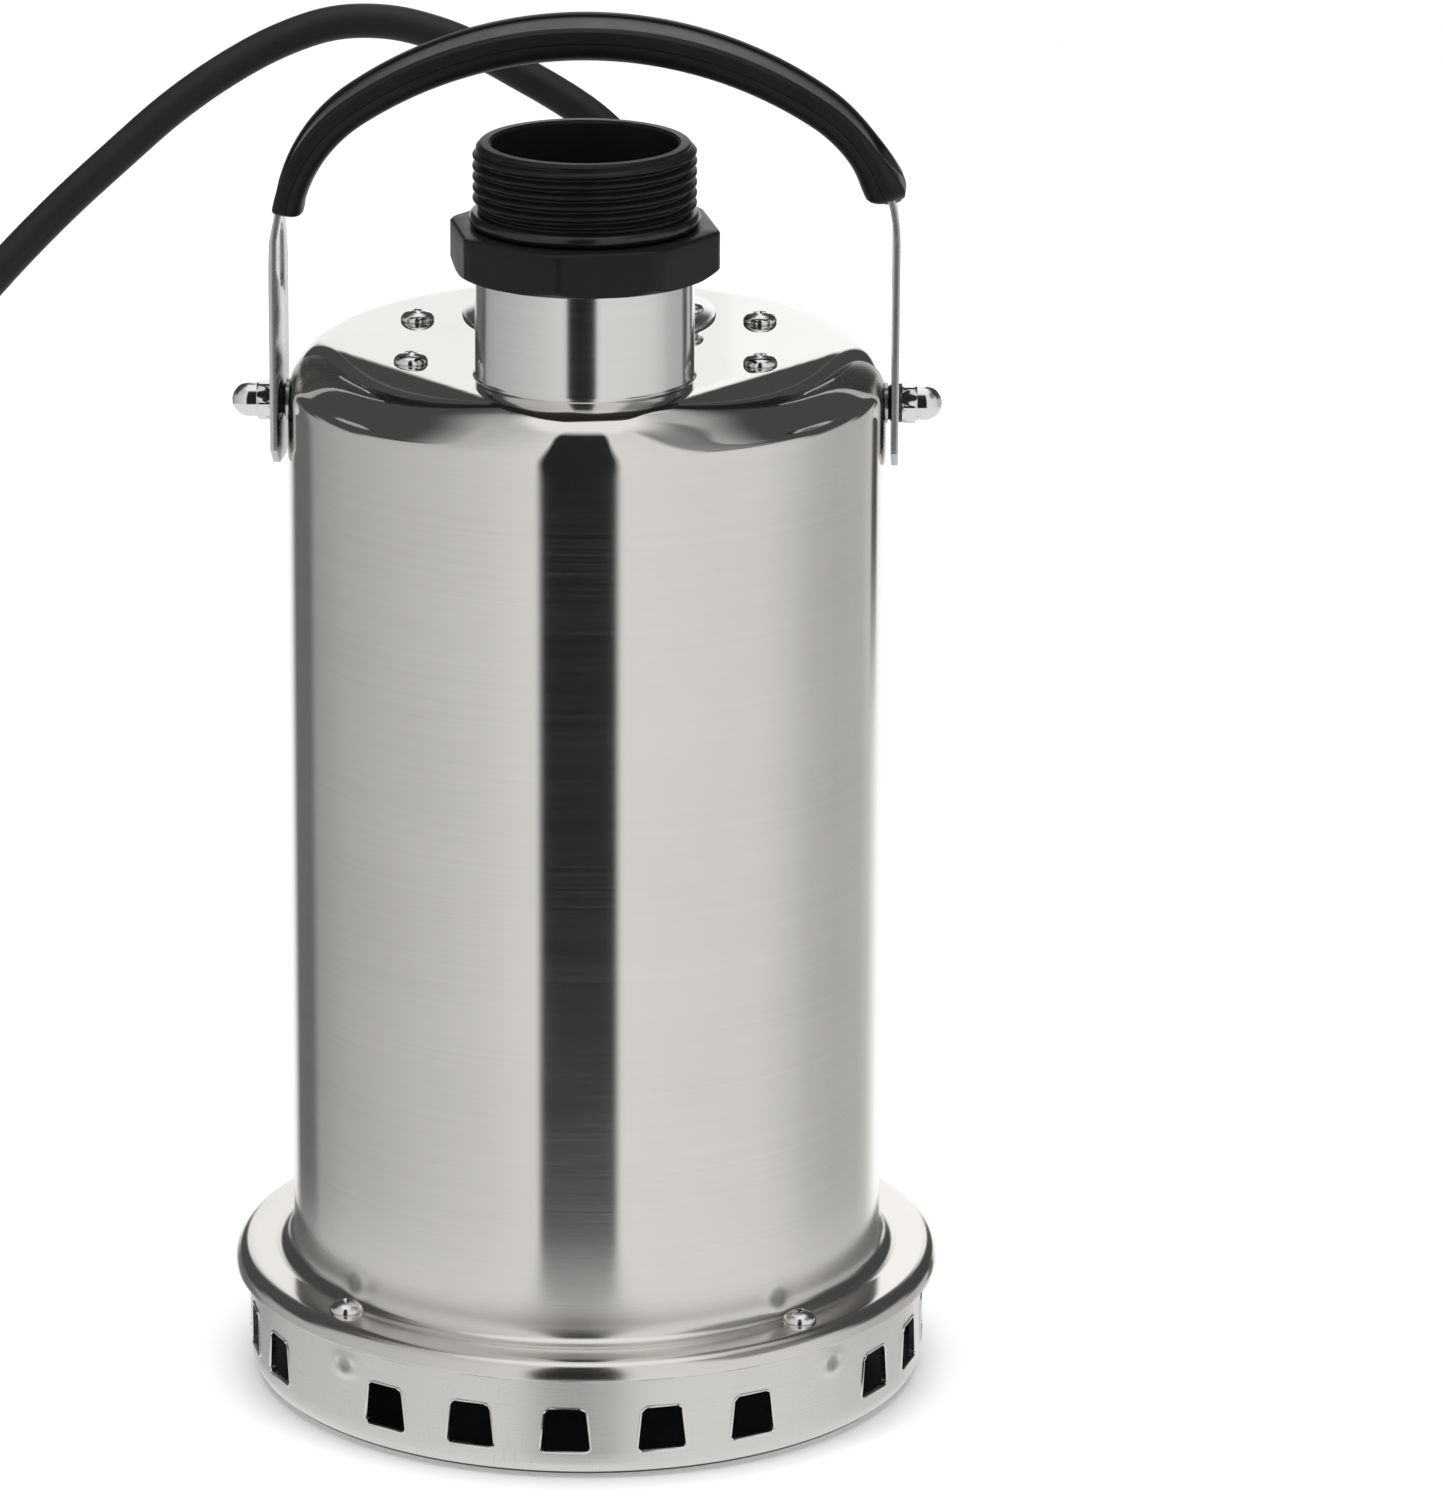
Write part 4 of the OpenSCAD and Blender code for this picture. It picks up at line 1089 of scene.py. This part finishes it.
def makeStrap():
    foot, half, t = boxMm("handle_strap")[0].z, handle["wide"] / 2, handle["thick"] / 2
    x = handle["armX"]
    arm = [(x, foot + rise, 1, 0, half - max(0, handle["cut"] - rise))
           for rise in (0, handle["cut"], 9, 17, 30, 44)]
    line = arm + [(*p, half) for p in archPoints(72)]
    line += [(-px, z, -nx, nz, h) for px, z, nx, nz, h in reversed(arm)]
    points = []
    for px, z, nx, nz, h in line:
        points += [(px + nx * v, u, z + nz * v) for u, v in ((-h, -t), (h, -t), (h, t), (-h, t))]
    faces = gridFaces(len(line), 4, False, True)
    faces += [(0, 1, 2, 3), tuple(4 * (len(line) - 1) + k for k in range(4))]
    strap = makeMesh("handleStrap", points, faces, 30)
    hole, r = handle["holeFoot"], handle["holeR"]
    cutters = [laidAlongX(rod("pin", handle["pivotR"], -80, 80, 40), 0, pivot["z"], 1)]
    ends = arc(0, hole + handle["holeL"], r, 0, 180, 10) + arc(0, hole, r, 180, 360, 10)
    for side in (-1, 1):
        cutters.append(prism("slotHole", ends, side * (x - 3), side * (x + 3),
                             lambda u, z, depth: (depth, u, z)))
    for cutter in cutters:
        cutWith(strap, cutter)
    bevelled(strap, 0.22, 2, 50, 32)
    for vertex in strap.data.vertices:
        # The left arm is a little twisted
        px, py, z = vertex.co / mm
        if px < 0:
            angle = math.radians(handle["twist"]) * (1 - smoothStep((z - handle["twistEnds"]) / 9))
            across, out = py, px + x
            vertex.co.x = (-x + out * math.cos(angle) + across * math.sin(angle)) * mm
            vertex.co.y = (across * math.cos(angle) - out * math.sin(angle)) * mm
    return strap


def gripSection(thick, wide, closed, bulb):
    # Half of the channel from its top lip round to the middle of its underside, mirrored.
    # At the right end the lips close over the strap and swell into a bulb.
    inside, t = handle["wide"] / 2, handle["thick"] / 2 + 0.02
    lipIn, w = (inside - handle["lip"]) * (1 - 0.95 * closed), wide / 2
    right = [(lipIn, t), (lipIn, 1.05 + bulb), (lipIn + 0.3, 1.35 + bulb), (w - 1.4, 1.45 + bulb * 0.8),
             (w - 0.6, 1.2 + bulb * 0.6), (w - 0.1, 0.7 + bulb * 0.3), (w, 0.1),
             (w - 0.02, -thick * 0.26), (w - 0.22, -thick * 0.30), (w - 0.10, -thick * 0.34),
             (w * 0.97, -thick * 0.55), (w * 0.88, -thick * 0.74),
             (w * 0.72, -thick * 0.88), (w * 0.5, -thick * 0.96), (w * 0.25, -thick)]
    return right + [(-u, v) for u, v in reversed(right)]


def makeGrip():
    # Close stations at the two ends, which are rounded, and wider ones between
    low = boxMm("handle_grip")[0].z
    path = [p for p in archPoints(360) if p[1] > low + (3.0 if p[0] > 0 else 0.8)]
    path = [p for i, p in enumerate(path) if i < 10 or i > len(path) - 11 or i % 3 == 0]
    count = len(path)
    places = [0.0]
    for (x0, z0, *_), (x1, z1, *_) in zip(path, path[1:]):
        places.append(places[-1] + math.hypot(x1 - x0, z1 - z0))
    points, sections = [], []
    for (x, z, nx, nz), place in zip(path, places):
        t = place / places[-1]
        rightEnd, leftEnd = min(place / 3.2, 1), min((places[-1] - place) / 1.2, 1)
        roundRight, roundLeft = (math.sqrt(1 - (1 - end) ** 2) for end in (rightEnd, leftEnd))
        ease = max(roundRight, 0.45) * (0.86 + 0.14 * roundLeft)
        swell = 0.5 * math.exp(-((place - 4.5) / 5.0) ** 2)
        swell += 0.3 * math.exp(-((places[-1] - place) / 2.5) ** 2)
        thick = handle["gripThick"] + handle["gripBelly"] * math.sin(math.pi * t) + swell
        closed, bulb = smoothStep((10 - place) / 7), 2.7 * math.exp(-(place / 9.0) ** 2)
        middle = -2.0 + 2.4 * math.exp(-(place / 5.0) ** 2)
        section = [(u * ease, middle + (v - middle) * ease)
                   for u, v in gripSection(thick, handle["gripWide"], closed, bulb)]
        sections.append(section)
        points += [(x + v * nx, u, z + v * nz) for u, v in section]
    sides = len(sections[0])
    faces = gridFaces(count, sides, False, True)
    faces += [tuple(range(sides)), tuple((count - 1) * sides + k for k in range(sides))]
    return makeMesh("handleGrip", points, faces, 34)


finished(makeStrap(), "handle", "strap", ["handle_strap"])
finished(makeGrip(), "handle", "grip", ["handle_grip"])
print("handle made")


# The parts inside keep their own meshes and get their finishes

insideFinishes = {
    "strainer": ["base_brackets"], "screw": ["casing_screws"],
    "plainSteel": ["pivot_studs", "motor_can", "upper_bearing", "lower_bearing", "motor_shaft",
                   "seal_spring"],
    "rubber": ["gland_bush", "cover_orings"],
    "castAluminium": ["upper_cover", "lower_cover", "oil_chamber"],
    "laminations": ["stator_core", "rotor_core"],
    "copper": ["stator_windings"],
    "shellOfCapacitor": ["capacitor"],
    "ceramic": ["seal_seat"],
    "carbon": ["seal_head"],
    "brass": ["wear_ring", "impeller_nut"],
    "plastic": ["diffuser", "suction_plate", "impeller"],
}
for finish, names in insideFinishes.items():
    for name in names:
        nodes[name].data.materials.clear()
        nodes[name].data.materials.append(finishes[finish])


# Floor, studio and lights

studio = {"floor": 1.4, "nearFloor": 0.215, "white": 0.86, "sides": 96,
          "overhead": 55.0, "sideBoxes": 9.0}


def makeFloor():
    material, place, wear = newMaterial("paleFloor", {"Roughness": 0.9, "Specular IOR Level": 0.0})
    tone = place.noise(3.0, 2.0)
    wear(Base_Color=tone.mixed((studio["white"],) * 3 + (1,), (studio["white"] * 1.02,) * 3 + (1,)))
    n = studio["sides"]
    near, wide = ([(x, y, 0) for x, y in circleSection(r, n)] for r in (studio["nearFloor"], studio["floor"]))
    band = [(k, (k + 1) % n, n + (k + 1) % n, n + k) for k in range(n)]
    for name, points, faces in (("floorNear", near, [tuple(range(n))]), ("floorWide", near + wide, band)):
        mesh = bpy.data.meshes.new(name)
        mesh.from_pydata(points, [], faces)
        mesh.materials.append(material)
        floor = bpy.data.objects.new(name, mesh)
        bpy.context.scene.collection.objects.link(floor)
        floor.location.z = -0.0002
        floor.visible_glossy = False


def makeWorld():
    # A white room with soft cards: what polished steel shows
    world = bpy.data.worlds.new("studio")
    bpy.context.scene.world = world
    world.use_nodes = True
    tree = world.node_tree
    way = Sock(tree, tree.nodes.new("ShaderNodeTexCoord").outputs["Generated"])
    x, y, z = (way.node("ShaderNodeSeparateXYZ", {}, {"Vector": way}, k) for k in range(3))
    round01 = way.maths("ARCTAN2", x, y * -1) / (2 * math.pi) + 0.5
    # Brightness by azimuth from straight behind, round by the left and the front
    cards = [(-180, 1.0), (-162, 0.95), (-152, 0.15), (-134, 0.15), (-128, 0.34), (-107, 0.44), (-80, 0.52),
             (-57, 0.59), (-37, 0.66), (-17.8, 0.76), (-16.3, 0.012), (12, 0.016), (13.5, 0.78),
             (30, 0.76), (70, 0.72), (85, 0.63), (98, 0.52), (113, 0.47), (133, 0.48), (143, 0.6),
             (157, 1.1), (180, 1.1)]
    walls = round01.node("ShaderNodeValToRGB", {"stops": [(0.5 + at / 360, level) for at, level in cards]},
                         {"Fac": round01})
    away = way.maths("ABSOLUTE", round01 - 0.5) * 360
    glow = 1 - z.step(-0.395, -0.345)
    low = walls * (1 - glow) + glow * 0.80
    signed = round01 * 360 - 180
    upper = away.step(92, 104) * (1 - away.step(164, 169)) * z.step(0.10, 0.32)
    behind = away.step(160, 166) * (1 - away.step(173, 177)) * z.step(0.36, 0.46)
    lower = away.step(118, 130) * (1 - away.step(164, 169)) * z.step(-0.02, 0.06)
    edge = signed.step(142, 145) * (1 - signed.step(150, 153)) * z.step(-0.297, -0.268)
    dark = way.maths("MAXIMUM", way.maths("MAXIMUM", upper, behind), way.maths("MAXIMUM", lower, edge))
    dark = dark * (1 - z.step(0.76, 0.88))
    dim = signed.step(46, 60) * (1 - signed.step(100, 110)) * z.step(0.48, 0.58)
    dim = dim * (1 - z.step(0.86, 0.93)) * 0.65
    high = z.step(0.88, 0.98)
    level = (low * (1 - dim) * (1 - dark) + dark * 0.06) * (1 - high) + high * 0.92
    camera = Sock(tree, tree.nodes.new("ShaderNodeLightPath").outputs["Is Camera Ray"])
    shown = level * (1 - camera) + camera
    tree.links.new(shown.socket, tree.nodes["Background"].inputs["Color"])


def addSoftbox(name, place, aim, size, power):
    light = bpy.data.lights.new(name, "AREA")
    light.shape, light.size, light.size_y, light.energy = "RECTANGLE", size[0], size[1], power
    holder = bpy.data.objects.new(name, light)
    holder.location = place
    holder.rotation_euler = (Vector(aim) - Vector(place)).to_track_quat("-Z", "Y").to_euler()
    holder.visible_glossy = False
    bpy.context.scene.collection.objects.link(holder)


makeFloor()
makeWorld()
addSoftbox("overhead", (0, 0.2, 1.9), (0, 0.1, 0), (2.4, 2.4), studio["overhead"])
addSoftbox("leftBox", (-1.5, -0.9, 0.9), (0, 0, 0.15), (0.8, 1.4), studio["sideBoxes"])
addSoftbox("rightBox", (1.5, -0.9, 0.9), (0, 0, 0.15), (0.8, 1.4), studio["sideBoxes"])
bpy.context.scene.view_settings.view_transform = "Standard"
print("studio made")
